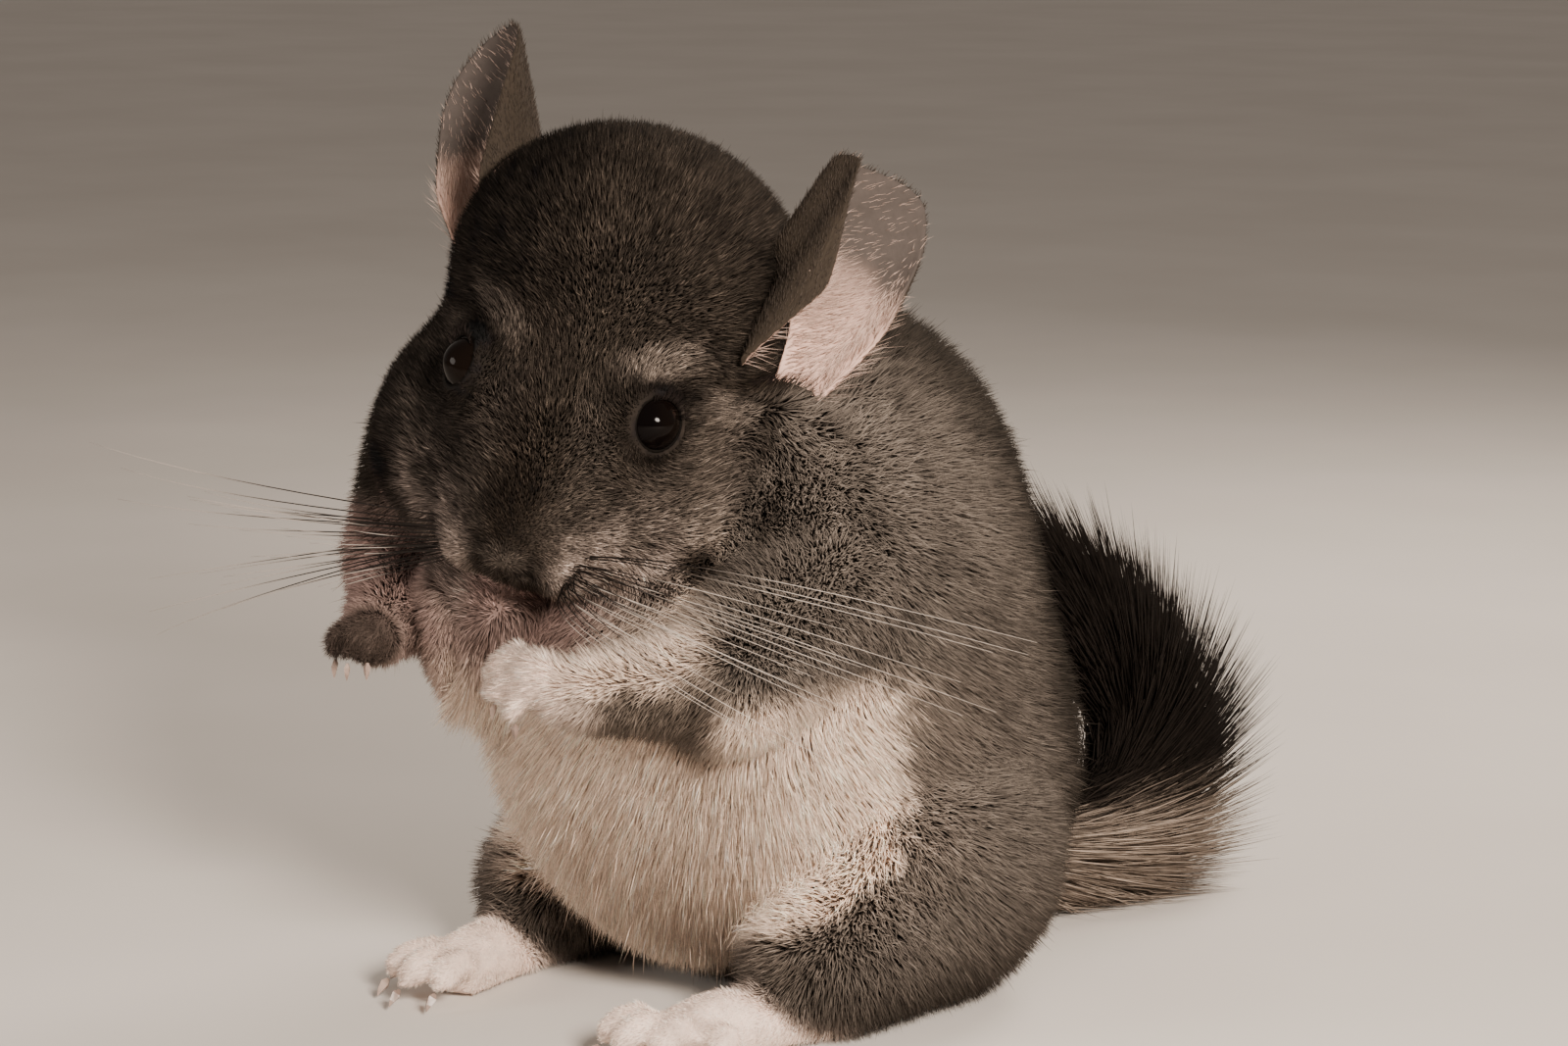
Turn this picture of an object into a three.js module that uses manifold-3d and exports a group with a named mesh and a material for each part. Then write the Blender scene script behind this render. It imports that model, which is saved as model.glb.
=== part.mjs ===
// A sitting chinchilla, life size, as a still museum model. Millimetres, +Z up.
// The animal faces -Y, its left side is +X, and it rests on its hind feet, rump and tail at Z 0.
import * as THREE from "three";
import { mergeVertices } from "three/addons/utils/BufferGeometryUtils.js";
import Module from "manifold-3d";

const wasm = await Module();
wasm.setup();

// Driving dimensions
const gap = 0.3; // between two pieces that touch
const eyeRadius = 5.6;
const earThickness = 1.5;
const whiskerRows = 4;
const whiskersInRow = 5;
const whiskerThickness = 0.72;
const whiskerLengths = [40, 104]; // shortest and longest
const headPlace = new THREE.Vector3(4, -66, 91); // tip of the nose
const headTurn = { yaw: 18.5, pitch: 37.6, roll: 19.6 }; // degrees: to its left, nose down, left ear down
const sides = [
  { name: "left", side: 1 },
  { name: "right", side: -1 },
];

const vector = (x, y, z) => new THREE.Vector3(x, y, z);
const radians = THREE.MathUtils.degToRad;
const mix = THREE.MathUtils.lerp;

// Small repeatable random numbers
function dice(seed) {
  let state = seed;
  return () => {
    state = (state * 1664525 + 1013904223) % 4294967296;
    return state / 4294967296;
  };
}

// Rough distance to an ellipsoid, less than zero inside it
function lump([x, y, z], [rx, ry, rz], [tx, ty, tz] = [0, 0, 0]) {
  const centre = vector(x, y, z);
  const turn = new THREE.Euler(radians(tx), radians(ty), radians(tz), "ZYX");
  const back = new THREE.Quaternion().setFromEuler(turn).invert();
  const q = vector(0, 0, 0);
  return (p) => {
    q.copy(p).sub(centre).applyQuaternion(back);
    const reach = Math.hypot(q.x / rx, q.y / ry, q.z / rz);
    const slope = Math.hypot(q.x / (rx * rx), q.y / (ry * ry), q.z / (rz * rz));
    return slope < 1e-6 ? -Math.min(rx, ry, rz) : (reach * (reach - 1)) / slope;
  };
}

// Distance to a limb that runs from one point to another with a radius at each
function bone(from, to, fromRadius, toRadius) {
  const start = vector(...from);
  const along = vector(...to).sub(start);
  const q = vector(0, 0, 0);
  return (p) => {
    q.copy(p).sub(start);
    const share = THREE.MathUtils.clamp(q.dot(along) / along.lengthSq(), 0, 1);
    return q.addScaledVector(along, -share).length() - mix(fromRadius, toRadius, share);
  };
}

// Several fields melted together; softness is the width of the melted seam
function melt(softness, ...fields) {
  return (p) =>
    fields
      .map((field) => field(p))
      .reduce((a, b) => {
        const near = Math.max(softness - Math.abs(a - b), 0) / softness;
        return Math.min(a, b) - (near * near * softness) / 4;
      });
}

// The closed surface of a field, seen from its heart, with the coat added all round
function skinOf(field, heart, detail, coat = 0) {
  const step = 1.2;
  const ball = new THREE.IcosahedronGeometry(1, detail);
  ball.deleteAttribute("normal");
  ball.deleteAttribute("uv");
  const skin = mergeVertices(ball, 1e-5);
  const centre = vector(...heart);
  const place = skin.attributes.position;
  const way = vector(0, 0, 0);
  const probe = vector(0, 0, 0);
  const outside = (reach) => field(probe.copy(centre).addScaledVector(way, reach)) > coat;
  for (let i = 0; i < place.count; i++) {
    way.fromBufferAttribute(place, i).normalize();
    let far = step;
    while (far < 200 && !outside(far)) far += step;
    let near = far - step;
    for (let n = 0; n < 16; n++) {
      const half = (near + far) / 2;
      if (outside(half)) far = half;
      else near = half;
    }
    probe.copy(centre).addScaledVector(way, far);
    place.setXYZ(i, probe.x, probe.y, probe.z);
  }
  return skin;
}

// A closed tapering limb round a curve. radiusAt gives the radius at a share of the length, and the ends are round
function limb(points, radiusAt, { around = 8, along = 8, flat = 1, cap = 0.12 } = {}) {
  const curve = new THREE.CatmullRomCurve3(points.map((p) => vector(...p)));
  const ball = new THREE.SphereGeometry(1, around, along);
  ball.deleteAttribute("normal");
  ball.deleteAttribute("uv");
  const made = mergeVertices(ball, 1e-5);
  const place = made.attributes.position;
  const up = vector(0, 0, 1);
  const spot = vector(0, 0, 0);
  const tangent = vector(0, 0, 0);
  const across = vector(0, 0, 0);
  const over = vector(0, 0, 0);
  for (let i = 0; i < place.count; i++) {
    const share = Math.acos(THREE.MathUtils.clamp(place.getY(i), -1, 1)) / Math.PI;
    const ring = Math.hypot(place.getX(i), place.getZ(i)) || 1;
    const nearEnd = Math.min(share, 1 - share) / cap;
    const round = nearEnd >= 1 ? 1 : Math.sqrt(Math.max(0, 1 - (1 - nearEnd) ** 2));
    const width = radiusAt(share) * round;
    curve.getPoint(share, spot);
    curve.getTangent(share, tangent);
    across.crossVectors(up, tangent).normalize();
    over.crossVectors(tangent, across);
    spot.addScaledVector(across, (place.getX(i) / ring) * width);
    spot.addScaledVector(over, (place.getZ(i) / ring) * width * flat);
    if (share === 0 || share === 1) curve.getPoint(share, spot);
    place.setXYZ(i, spot.x, spot.y, spot.z);
  }
  return made;
}

// Closed mesh to solid and back, for cutting and joining
function solid(geometry, matrix) {
  const source = geometry.clone();
  for (const name of Object.keys(source.attributes)) {
    if (name !== "position") source.deleteAttribute(name);
  }
  if (matrix) source.applyMatrix4(matrix);
  const shell = mergeVertices(source, 1e-4);
  const made = new wasm.Manifold(
    new wasm.Mesh({
      numProp: 3,
      vertProperties: new Float32Array(shell.attributes.position.array),
      triVerts: new Uint32Array(shell.index.array),
    }),
  );
  return made.volume() < 0 ? turnedOut(shell) : made;
}

function turnedOut(shell) {
  const order = new Uint32Array(shell.index.array);
  for (let i = 0; i < order.length; i += 3) {
    [order[i + 1], order[i + 2]] = [order[i + 2], order[i + 1]];
  }
  return new wasm.Manifold(
    new wasm.Mesh({
      numProp: 3,
      vertProperties: new Float32Array(shell.attributes.position.array),
      triVerts: order,
    }),
  );
}

// Only the largest closed surface of a solid is kept
function largest(made) {
  return made.decompose().reduce((a, b) => (a.volume() > b.volume() ? a : b));
}

function meshOf(name, made, material) {
  const { numProp, numVert, vertProperties, triVerts } = largest(made).getMesh();
  const place = new Float32Array(numVert * 3);
  for (let i = 0; i < numVert; i++) {
    place.set(vertProperties.subarray(i * numProp, i * numProp + 3), i * 3);
  }
  const geometry = new THREE.BufferGeometry();
  geometry.setAttribute("position", new THREE.BufferAttribute(place, 3));
  geometry.setIndex(new THREE.BufferAttribute(new Uint32Array(triVerts), 1));
  geometry.computeVertexNormals();
  const mesh = new THREE.Mesh(geometry, material);
  mesh.name = name;
  return mesh;
}

const joined = (first, ...others) => others.reduce((a, b) => a.add(b), first);
const cutBy = (first, ...others) => others.reduce((a, b) => a.subtract(b), first);
const boxSolid = (low, high) => {
  const size = high.map((v, i) => v - low[i]);
  const box = new THREE.BoxGeometry(...size);
  box.translate(...low.map((v, i) => v + size[i] / 2));
  return solid(box);
};

// Materials
const finish = (color, roughness = 0.9) =>
  new THREE.MeshStandardMaterial({ color, roughness, metalness: 0 });
const greyCoat = finish(0x5b534d);
const paleCoat = finish(0xc9b8ac);
const earSkin = finish(0x6f6560, 0.75);
const eyeGlaze = finish(0x0a0808, 0.08);
const hairBlack = finish(0x2a2421, 0.6);
const hornBrown = finish(0x6b5348, 0.5);

const animal = new THREE.Group();
const headFrame = new THREE.Group();
headFrame.position.copy(headPlace);
headFrame.rotation.set(
  radians(headTurn.pitch),
  radians(headTurn.roll),
  radians(headTurn.yaw),
  "ZXY",
);
animal.add(headFrame);
headFrame.updateMatrixWorld(true);
const floorBlock = boxSolid([-300, -300, -60], [300, 300, 0]);

// Torso: belly, rump, back and chest
const torsoField = melt(
  20,
  lump([0, 8, 50], [49, 55, 50]),
  lump([0, 34, 38], [44, 34, 38]),
  lump([0, 6, 84], [52, 46, 42]),
  lump([0, 13, 102], [37, 33, 31]),
  lump([0, -24, 65], [34, 24, 30]),
);
const torsoSkin = (coat) => solid(skinOf(torsoField, [0, 0, 62], 6, coat));
const torsoRoom = torsoSkin(gap);

// Neck: the furry collar between the shoulders and the back of the head
const neckField = melt(12, lump([0, -7, 107], [38, 26, 21], [-20, 0, 0]), lump([-6, -22, 94], [28, 18, 22]));
const neckSkin = (coat) => solid(skinOf(neckField, [0, -12, 104], 3, coat));
const neckRoom = neckSkin(gap);

// Head, in its own frame: nose tip at the origin, +Y to the back of the head, +Z to the crown
const headField = melt(
  9,
  lump([0, 15, -0.5], [14.5, 16, 12]),
  lump([0, 31, 6.5], [21, 22, 19.5]),
  lump([0, 61, 12], [34, 30, 31]),
  lump([21.5, 38, -11], [18.5, 26, 19]),
  lump([-21.5, 38, -11], [18.5, 26, 19]),
  lump([13, 24, -5], [13, 15, 11]),
  lump([-13, 24, -5], [13, 15, 11]),
  lump([0, 20, -11], [10, 14, 6]),
);
const headSkin = (coat, matrix) => solid(skinOf(headField, [0, 46, 5], 7, coat), matrix);
const headRoom = headSkin(gap);
const headRoomInPlace = headSkin(gap, headFrame.matrixWorld);

const eyePlace = ({ side }) => [side * 17.2, 27.5, 18];

function eyeball(at, radius, detail) {
  const ball = new THREE.IcosahedronGeometry(radius, detail);
  ball.translate(...at);
  return solid(ball);
}

// Lids: a thin shell over the eye with an opening that looks out, up and a little forward
const eyeWay = ({ side }) => vector(side * 0.74, -0.38, 0.56).normalize();
const lids = (which) => eyeball(eyePlace(which), eyeRadius + 1.3, 2);
function lidOpening(which) {
  const at = vector(...eyePlace(which));
  const opening = new THREE.SphereGeometry(1, 12, 8);
  opening.scale(5, 5, 9);
  opening.applyQuaternion(new THREE.Quaternion().setFromUnitVectors(vector(0, 0, 1), eyeWay(which)));
  opening.translate(...at.addScaledVector(eyeWay(which), 6).toArray());
  return solid(opening);
}

// Nose and the two cushions of the upper lip that carry the whiskers
const noseField = lump([0, 1.6, 1], [4.8, 3.4, 3.6]);
const noseSkin = (coat, matrix) => solid(skinOf(noseField, [0, 1.6, 1], 2, coat), matrix);
const padField = ({ side }) => lump([side * 8.8, 10, -4.6], [8.4, 9.4, 7.8], [0, 0, -16 * side]);
const padSkin = (which, coat, matrix) =>
  solid(skinOf(padField(which), [which.side * 8.8, 10, -4.6], 2, coat), matrix);
const mouthLine = limb(
  [-1, -0.6, 0, 0.6, 1].map((t) => [t * 12, 7 + 8 * t * t, -11.2 + 1.6 * t * t]),
  () => 0.9,
  { around: 6, along: 10 },
);
const lipCleft = limb([[0, -1.5, -2], [0, 1, -6], [0, 6, -11]], () => 0.7, { around: 6, along: 6 });
const nostril = ({ side }) =>
  limb([[side * 1.6, -3.4, 0.2], [side * 2.6, -0.6, 0.8], [side * 4.6, 1.4, 1.8]], () => 0.8, {
    around: 5,
    along: 4,
  });

let headSolid = joined(headSkin(0), ...sides.map(lids));
headSolid = cutBy(
  headSolid,
  ...sides.map((which) => eyeball(eyePlace(which), eyeRadius + gap, 3)),
  ...sides.map(lidOpening),
  ...sides.map((which) => padSkin(which, gap)),
  noseSkin(gap),
  solid(mouthLine),
  solid(lipCleft),
);
headFrame.add(meshOf("head", headSolid, greyCoat));
headFrame.add(
  meshOf(
    "nose",
    cutBy(noseSkin(0), ...sides.map((which) => padSkin(which, gap)), ...sides.map((w) => solid(nostril(w)))),
    hairBlack,
  ),
);
const padRooms = sides.map((which) => padSkin(which, gap, headFrame.matrixWorld));
animal.add(meshOf("neck", cutBy(neckSkin(0), headRoomInPlace, ...padRooms), greyCoat));
animal.add(meshOf("torso", cutBy(torsoSkin(0), neckRoom, headRoomInPlace, ...padRooms, floorBlock), greyCoat));
for (const which of sides) {
  headFrame.add(meshOf(which.name + "_eye", eyeball(eyePlace(which), eyeRadius, 2), eyeGlaze));
}

// Ears: a cupped petal on a rolled root. Each wall wraps round by its degrees at the base, middle and top
const ears = {
  left: {
    root: [21.2, -10.8, 132.4],
    tip: [32.6, 8, 162.2],
    open: [0.95, -0.1, -0.26],
    girth: 13.4,
    turn: 1,
    lowWall: [86, 98, 96],
    highWall: [60, 120, 92],
  },
  right: {
    root: [-31.4, -21.2, 147.7],
    tip: [-41.4, -22, 184.4],
    open: [-0.27, -0.96, -0.09],
    girth: 14.4,
    turn: -1,
    lowWall: [96, 116, 104],
    highWall: [108, 122, 88],
  },
};
const wrapAt = ([base, middle, top], share) =>
  share < 0.4 ? mix(base, middle, share / 0.4) : mix(middle, top, (share - 0.4) / 0.6);
function ear(name) {
  const acrossSteps = 12;
  const upSteps = 9;
  const { root, tip, open, girth, turn, lowWall, highWall } = ears[name];
  const start = vector(...root);
  const axis = vector(...tip).sub(start);
  const height = axis.length();
  axis.normalize();
  const openWay = vector(...open);
  openWay.addScaledVector(axis, -openWay.dot(axis)).normalize();
  const rearWay = vector(0, 0, 0).crossVectors(openWay, axis).multiplyScalar(turn);
  const sheet = new THREE.BoxGeometry(2, 1, 1, acrossSteps, upSteps, 1);
  sheet.deleteAttribute("normal");
  sheet.deleteAttribute("uv");
  const made = mergeVertices(sheet, 1e-5);
  const place = made.attributes.position;
  const spot = vector(0, 0, 0);
  for (let i = 0; i < place.count; i++) {
    const v = place.getX(i);
    const inner = place.getZ(i) * turn > 0 ? 1 : 0;
    const brim = 0.42 + 0.58 * Math.max(0, 1 - Math.abs(v) ** 2.3) ** 0.55;
    const share = (place.getY(i) + 0.5) * brim;
    const thin = inner * mix(earThickness, 0.9, share);
    const reach = girth * mix(0.7, 1, Math.sin(Math.min(share * 1.6, 1) * 1.57));
    const bend = v * radians(wrapAt(v < 0 ? lowWall : highWall, share));
    spot.copy(start).addScaledVector(axis, mix(-0.28, 1, share) * height);
    spot.addScaledVector(rearWay, (reach - thin) * Math.sin(bend));
    spot.addScaledVector(openWay, (reach - (reach - thin) * Math.cos(bend)) * mix(1, 0.7, share));
    place.setXYZ(i, spot.x, spot.y, spot.z);
  }
  return solid(made);
}
for (const { name } of sides) {
  animal.add(meshOf(name + "_ear", cutBy(ear(name), headRoomInPlace, neckRoom, torsoRoom), earSkin));
}

// One digit from its knuckle to its tip, and the claw that grows from it
const digit = (points, radius) => solid(limb(points, (t) => mix(radius, radius * 0.8, t), { around: 6, along: 4, cap: 0.3 }));
function claw(points, length, radius) {
  const tip = vector(...points.at(-1));
  const way = tip.clone().sub(vector(...points.at(-2))).normalize();
  const at = (reach, drop) => tip.clone().addScaledVector(way, reach).add(vector(0, 0, -drop)).toArray();
  const bend = [at(-0.8, 0), at(length * 0.5, 0.2), at(length, 0.9)];
  return solid(limb(bend, (t) => mix(radius, 0.25, t), { around: 4, along: 3, cap: 0.05 }));
}
function addFoot(name, sole, digits, radius, clawLength, neighbours) {
  const toes = digits.map((points) => digit(points, radius));
  animal.add(meshOf(name, cutBy(joined(sole, ...toes), ...neighbours), paleCoat));
  digits.forEach((points, n) => {
    const foot = joined(sole, ...digits.map((each) => digit(each, radius + gap)));
    const nail = cutBy(claw(points, clawLength, radius * 0.42), foot, ...neighbours);
    animal.add(meshOf(name + "_claw_" + (n + 1), nail, hornBrown));
  });
}

// Arms: the left paw is held up under the mouth, the right one reaches forward and out
const arms = {
  left: {
    shoulder: [31, -9, 84],
    elbow: [37, -41, 71],
    wrist: [23, -65.5, 70],
    grip: [17, -70, 72.5],
    fingers: [
      [[14, -67, 76.5], [9.5, -68.5, 76], [6.5, -69, 72.5]],
      [[15.5, -70, 76], [10.5, -72.5, 75], [8, -73, 71]],
      [[17, -72, 73.5], [12.5, -75, 71.5], [11, -74.5, 67.5]],
      [[19, -72, 70.5], [17, -75, 68.5], [16, -74, 64.5]],
    ],
  },
  right: {
    shoulder: [-46, -32, 102],
    elbow: [-49, -42, 82],
    wrist: [-35.5, -62, 73],
    grip: [-32.5, -66.5, 73],
    fingers: [
      [[-28.5, -67, 74], [-27.5, -71.5, 73.5], [-27, -72.5, 69]],
      [[-31, -69, 75], [-31, -73.5, 73.5], [-31, -74, 68.5]],
      [[-34, -69, 75], [-35.5, -73, 73], [-36, -73, 68]],
      [[-36.5, -67, 74], [-39, -70, 72], [-39.5, -70, 67.5]],
    ],
  },
};
const middle = (a, b) => a.map((v, i) => (v + b[i]) / 2);
for (const { name } of sides) {
  const { shoulder, elbow, wrist, grip, fingers } = arms[name];
  const upperField = bone(shoulder, elbow, 19.5, 14.5);
  const foreField = bone(elbow, wrist, 12, 7);
  const palmField = melt(3, bone(wrist, grip, 5.4, 5), lump(grip, [5.8, 4.6, 4.8]));
  const upper = (coat) => solid(skinOf(upperField, middle(shoulder, elbow), 3, coat));
  const fore = (coat) => solid(skinOf(foreField, middle(elbow, wrist), 3, coat));
  const palm = solid(skinOf(palmField, middle(wrist, grip), 2));
  const body = [torsoRoom, neckRoom, headRoomInPlace];
  animal.add(meshOf(name + "_upper_arm", cutBy(upper(0), ...body), greyCoat));
  animal.add(meshOf(name + "_forearm", cutBy(fore(0), upper(gap), ...body), greyCoat));
  addFoot(name + "_forepaw", palm, fingers, 2.4, 2.2, [fore(gap), upper(gap), ...body]);
}

// Whiskers fan out from each cushion, from the high back hairs to the low front ones, and trail back
const fans = {
  left: { high: [0.95, -0.68, 0.2], low: [0.66, -1, 0.14], trail: [0.14, 0.8, -0.34] },
  right: { high: [-0.86, -0.86, 0.04], low: [-0.8, -0.68, -0.26], trail: [-0.12, 0.44, -0.04] },
};
function whiskers(which) {
  const { name, side } = which;
  const roll = dice(11 + side);
  const { high, low, trail } = fans[name];
  let made = padSkin(which, 0, headFrame.matrixWorld);
  for (let row = 0; row < whiskerRows; row++) {
    for (let n = 0; n < whiskersInRow; n++) {
      const share = n / (whiskersInRow - 1);
      const height = row / (whiskerRows - 1);
      const length = mix(...whiskerLengths, share) * mix(0.84, 1, roll());
      const root = vector(side * 10.2, 4.4 + 4.6 * share, -7 + 4 * height).applyMatrix4(headFrame.matrixWorld);
      const out = vector(...low).lerp(vector(...high), height);
      out.add(vector(0, (share - 0.6) * 0.4, roll() * 0.1)).normalize();
      const at = (t) => {
        const bend = vector(...trail).multiplyScalar(t * t * length);
        return root.clone().addScaledVector(out, t * length).add(bend).toArray();
      };
      const thickness = (t) => mix(whiskerThickness / 2, 0.14, t);
      made = made.add(solid(limb([0, 0.35, 0.7, 1].map(at), thickness, { around: 3, along: 4, cap: 0.02 })));
    }
  }
  return made;
}
for (const which of sides) {
  const nose = noseSkin(gap, headFrame.matrixWorld);
  animal.add(meshOf(which.name + "_whiskers", whiskers(which).subtract(nose), hairBlack));
}

// Haunches and hind feet
for (const { name, side } of sides) {
  const thighField = melt(10, lump([side * 37, 12, 28], [20, 33, 29]), lump([side * 37, -14, 15], [17, 20, 15.5]));
  const thigh = (coat) => solid(skinOf(thighField, [side * 37, 4, 21], 4, coat));
  const soleField = melt(5, bone([side * 39, -12, 5], [side * 32, -46, 5], 7.5, 6.6), lump([side * 31, -50, 4.6], [8.6, 7, 5.8]));
  const sole = solid(skinOf(soleField, [side * 35, -30, 6], 2));
  const toes = [
    [[26.5, -48, 7.5], [24.2, -56, 7.6], [23, -61, 3.8]],
    [[31, -50, 7.5], [30.2, -58, 7.8], [29.8, -64, 3.8]],
    [[35, -48, 7.5], [36.6, -56, 7.4], [37.2, -60.5, 3.8]],
    [[39, -42, 5.5], [42, -48, 5.5], [43.5, -51.5, 3.4]],
  ].map((toe) => toe.map(([x, y, z]) => [side * x, y, z]));
  animal.add(meshOf(name + "_thigh", cutBy(thigh(0), torsoRoom, floorBlock), greyCoat));
  addFoot(name + "_hind_foot", sole, toes, 3.7, 3.2, [thigh(gap), torsoRoom, floorBlock]);
}

// Tail: three lengths that run back along the floor and curl up
const tailPath = new THREE.CatmullRomCurve3(
  [
    [2, 50, 18],
    [6, 74, 12],
    [8, 94, 13],
    [7, 107, 24],
    [4, 109, 37],
    [0, 103, 50],
    [-4, 93, 60],
  ].map((p) => vector(...p)),
);
const tailLengths = [
  { name: "tail_base", from: 0, to: 0.36 },
  { name: "tail_middle", from: 0.33, to: 0.7 },
  { name: "tail_tip", from: 0.67, to: 1 },
];
const tailRadius = (share) => mix(8.5, 5, share);
const tailRings = 8;
const locksInRing = 6;

// One flat tapering lock of long hair from its root, leaning towards its way, with a slight curve
function lock(root, way, over, length, width) {
  const at = (t) => root.clone().addScaledVector(way, t * length).addScaledVector(over, t * t * length * 0.16);
  const blade = limb([0, 0.4, 0.75, 1].map((t) => at(t).toArray()), (t) => width * mix(1, 0.12, t * t), {
    around: 4,
    along: 4,
    flat: 0.45,
    cap: 0.03,
  });
  return solid(blade);
}

// Locks stand off round a length of the tail, swept towards its tip, shorter underneath near the body
function locksOn(from, to) {
  const roll = dice(Math.round(97 * (from + 1)));
  const made = [];
  for (let ring = 0; ring < tailRings; ring++) {
    const share = (ring + 0.5) / tailRings;
    if (share < from || share >= to) continue;
    const root = tailPath.getPoint(share);
    const along = tailPath.getTangent(share);
    const sideways = vector(1, 0, 0).addScaledVector(along, -along.x).normalize();
    const outer = vector(0, 0, 0).crossVectors(along, sideways);
    for (let n = 0; n < locksInRing; n++) {
      const turn = ((n + (ring % 2) / 2 + 0.4 * roll()) / locksInRing) * Math.PI * 2;
      const off = sideways.clone().multiplyScalar(Math.cos(turn)).addScaledVector(outer, Math.sin(turn));
      const way = along.clone().addScaledVector(off, mix(0.3, 0.5, roll())).normalize();
      const length = mix(22, 34, Math.sin(Math.PI * Math.min(share + 0.25, 1) * 0.8)) * mix(0.85, 1.1, roll());
      const start = root.clone().addScaledVector(off, tailRadius(share) * 0.8);
      const tip = start.clone().addScaledVector(way, length);
      if (tip.z < 1) way.z += (1.5 - tip.z) / length;
      made.push(lock(start, way.normalize(), along, length, 2.8));
    }
  }
  return made;
}

let tailBefore = torsoRoom;
for (const { name, from, to } of tailLengths) {
  const points = [0, 0.25, 0.5, 0.75, 1].map((t) => tailPath.getPoint(mix(from, to, t)).toArray());
  const length = (coat) =>
    solid(limb(points, (t) => tailRadius(mix(from, to, t)) + coat, { around: 8, along: 5, cap: 0.2 }));
  animal.add(meshOf(name, cutBy(joined(length(0), ...locksOn(from, to)), tailBefore, floorBlock), greyCoat));
  tailBefore = joined(tailBefore, length(gap), ...locksOn(from, to));
}

// The frame's origin is the bottom centre of the animal's box
animal.updateMatrixWorld(true);
const bounds = new THREE.Box3().setFromObject(animal, true);
animal.position.set(-(bounds.min.x + bounds.max.x) / 2, -(bounds.min.y + bounds.max.y) / 2, -bounds.min.z);

export default animal;
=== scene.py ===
import math
import time

import bmesh
import bpy
import numpy as np
from mathutils import Matrix, Vector
from mathutils.kdtree import KDTree


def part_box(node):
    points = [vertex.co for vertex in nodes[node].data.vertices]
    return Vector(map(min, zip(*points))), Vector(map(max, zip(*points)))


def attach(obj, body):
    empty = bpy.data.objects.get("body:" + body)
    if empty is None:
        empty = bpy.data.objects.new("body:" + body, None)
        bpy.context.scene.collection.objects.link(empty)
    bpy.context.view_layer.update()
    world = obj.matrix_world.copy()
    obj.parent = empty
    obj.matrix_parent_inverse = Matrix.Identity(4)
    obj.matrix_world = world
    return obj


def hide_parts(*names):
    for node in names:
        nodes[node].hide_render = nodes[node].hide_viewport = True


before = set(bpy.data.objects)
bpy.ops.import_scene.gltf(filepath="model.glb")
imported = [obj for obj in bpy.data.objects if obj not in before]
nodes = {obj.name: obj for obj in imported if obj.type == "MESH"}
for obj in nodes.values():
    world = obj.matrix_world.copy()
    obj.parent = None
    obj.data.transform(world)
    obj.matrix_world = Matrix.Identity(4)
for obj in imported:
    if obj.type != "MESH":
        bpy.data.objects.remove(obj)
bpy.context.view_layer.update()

# A life-size still model of a sitting chinchilla. Blender works in metres here;
# the animal's own measurements are in millimetres, before the solids were centred on their box.
started = time.time()
mm = 0.001
dice = np.random.default_rng(31)


def report(stage):
    print(f"{stage}: {time.time() - started:.1f} s")


# where the head sits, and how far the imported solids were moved
head = {
    "place": np.array([4.0, -66.0, 91.0]),  # tip of the nose
    "yaw": 18.5,
    "pitch": 37.6,
    "roll": 19.6,
    "eye": (17.2, 27.5, 18.0),  # left eye in the head's own frame: left, back, up
    "eyeRadius": 5.6,
    "eyeWay": (0.74, -0.38, 0.56),
}
headTurn = np.array(
    Matrix.Rotation(math.radians(head["yaw"]), 3, "Z")
    @ Matrix.Rotation(math.radians(head["pitch"]), 3, "X")
    @ Matrix.Rotation(math.radians(head["roll"]), 3, "Y")
)


def fromHead(points):  # head frame to animal frame, mm
    return np.asarray(points, float) @ headTurn.T + head["place"]


def toHead(points):
    return (np.asarray(points, float) - head["place"]) @ headTurn


def faceMap(q):  # a head point as seen from its left front, mm across and down from the nose tip; both halves alike
    x = np.abs(q[:, 0])
    across = 0.936 * x + 0.355 * q[:, 1] + 0.043 * q[:, 2]
    down = 0.302 * x - 0.725 * q[:, 1] - 0.619 * q[:, 2]
    return np.stack([across, down], axis=1)


low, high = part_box("left_eye")
shift = np.array((low + high) / 2) / mm - fromHead(head["eye"])


def toWorld(points):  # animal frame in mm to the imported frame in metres
    return (np.asarray(points, float) + shift) * mm


def fromWorld(points):
    return np.asarray(points, float) / mm - shift


# camera, at the photograph's viewing angle
view = {"azimuth": 45.0, "elevation": 10.0, "target": (5.0, 5.0, 90.0), "distance": 800.0, "lens": 95.4}


def addCamera():
    a, e = math.radians(view["azimuth"]), math.radians(view["elevation"])
    way = Vector((math.sin(a) * math.cos(e), -math.cos(a) * math.cos(e), math.sin(e)))
    data = bpy.data.cameras.new("camera")
    data.sensor_width = 36
    data.lens = view["lens"]
    data.clip_start = 0.01
    camera = bpy.data.objects.new("camera", data)
    camera.location = Vector(toWorld(view["target"])) + way * view["distance"] * mm
    camera.rotation_euler = (-way).to_track_quat("-Z", "Y").to_euler()
    bpy.context.scene.collection.objects.link(camera)
    bpy.context.scene.camera = camera


# small tools for fields and vectors
def unit(v):
    return v / np.maximum(np.linalg.norm(v, axis=-1, keepdims=True), 1e-9)


def boneDistance(p, a, b, ra, rb):  # distance to a tapering limb
    a, b = np.asarray(a, float), np.asarray(b, float)
    along = b - a
    share = np.clip((p - a) @ along / (along @ along), 0, 1)
    return np.linalg.norm(p - a - share[:, None] * along, axis=1) - (ra + (rb - ra) * share)


def lumpDistance(p, centre, radii):  # rough distance to an ellipsoid
    q = (p - np.asarray(centre, float)) / np.asarray(radii, float)
    reach = np.linalg.norm(q, axis=1)
    slope = np.linalg.norm(q / np.asarray(radii, float), axis=1)
    return reach * (reach - 1) / np.maximum(slope, 1e-6)


def smoothStep(low, high, value):
    t = np.clip((value - low) / (high - low), 0, 1)
    return t * t * (3 - 2 * t)


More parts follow.
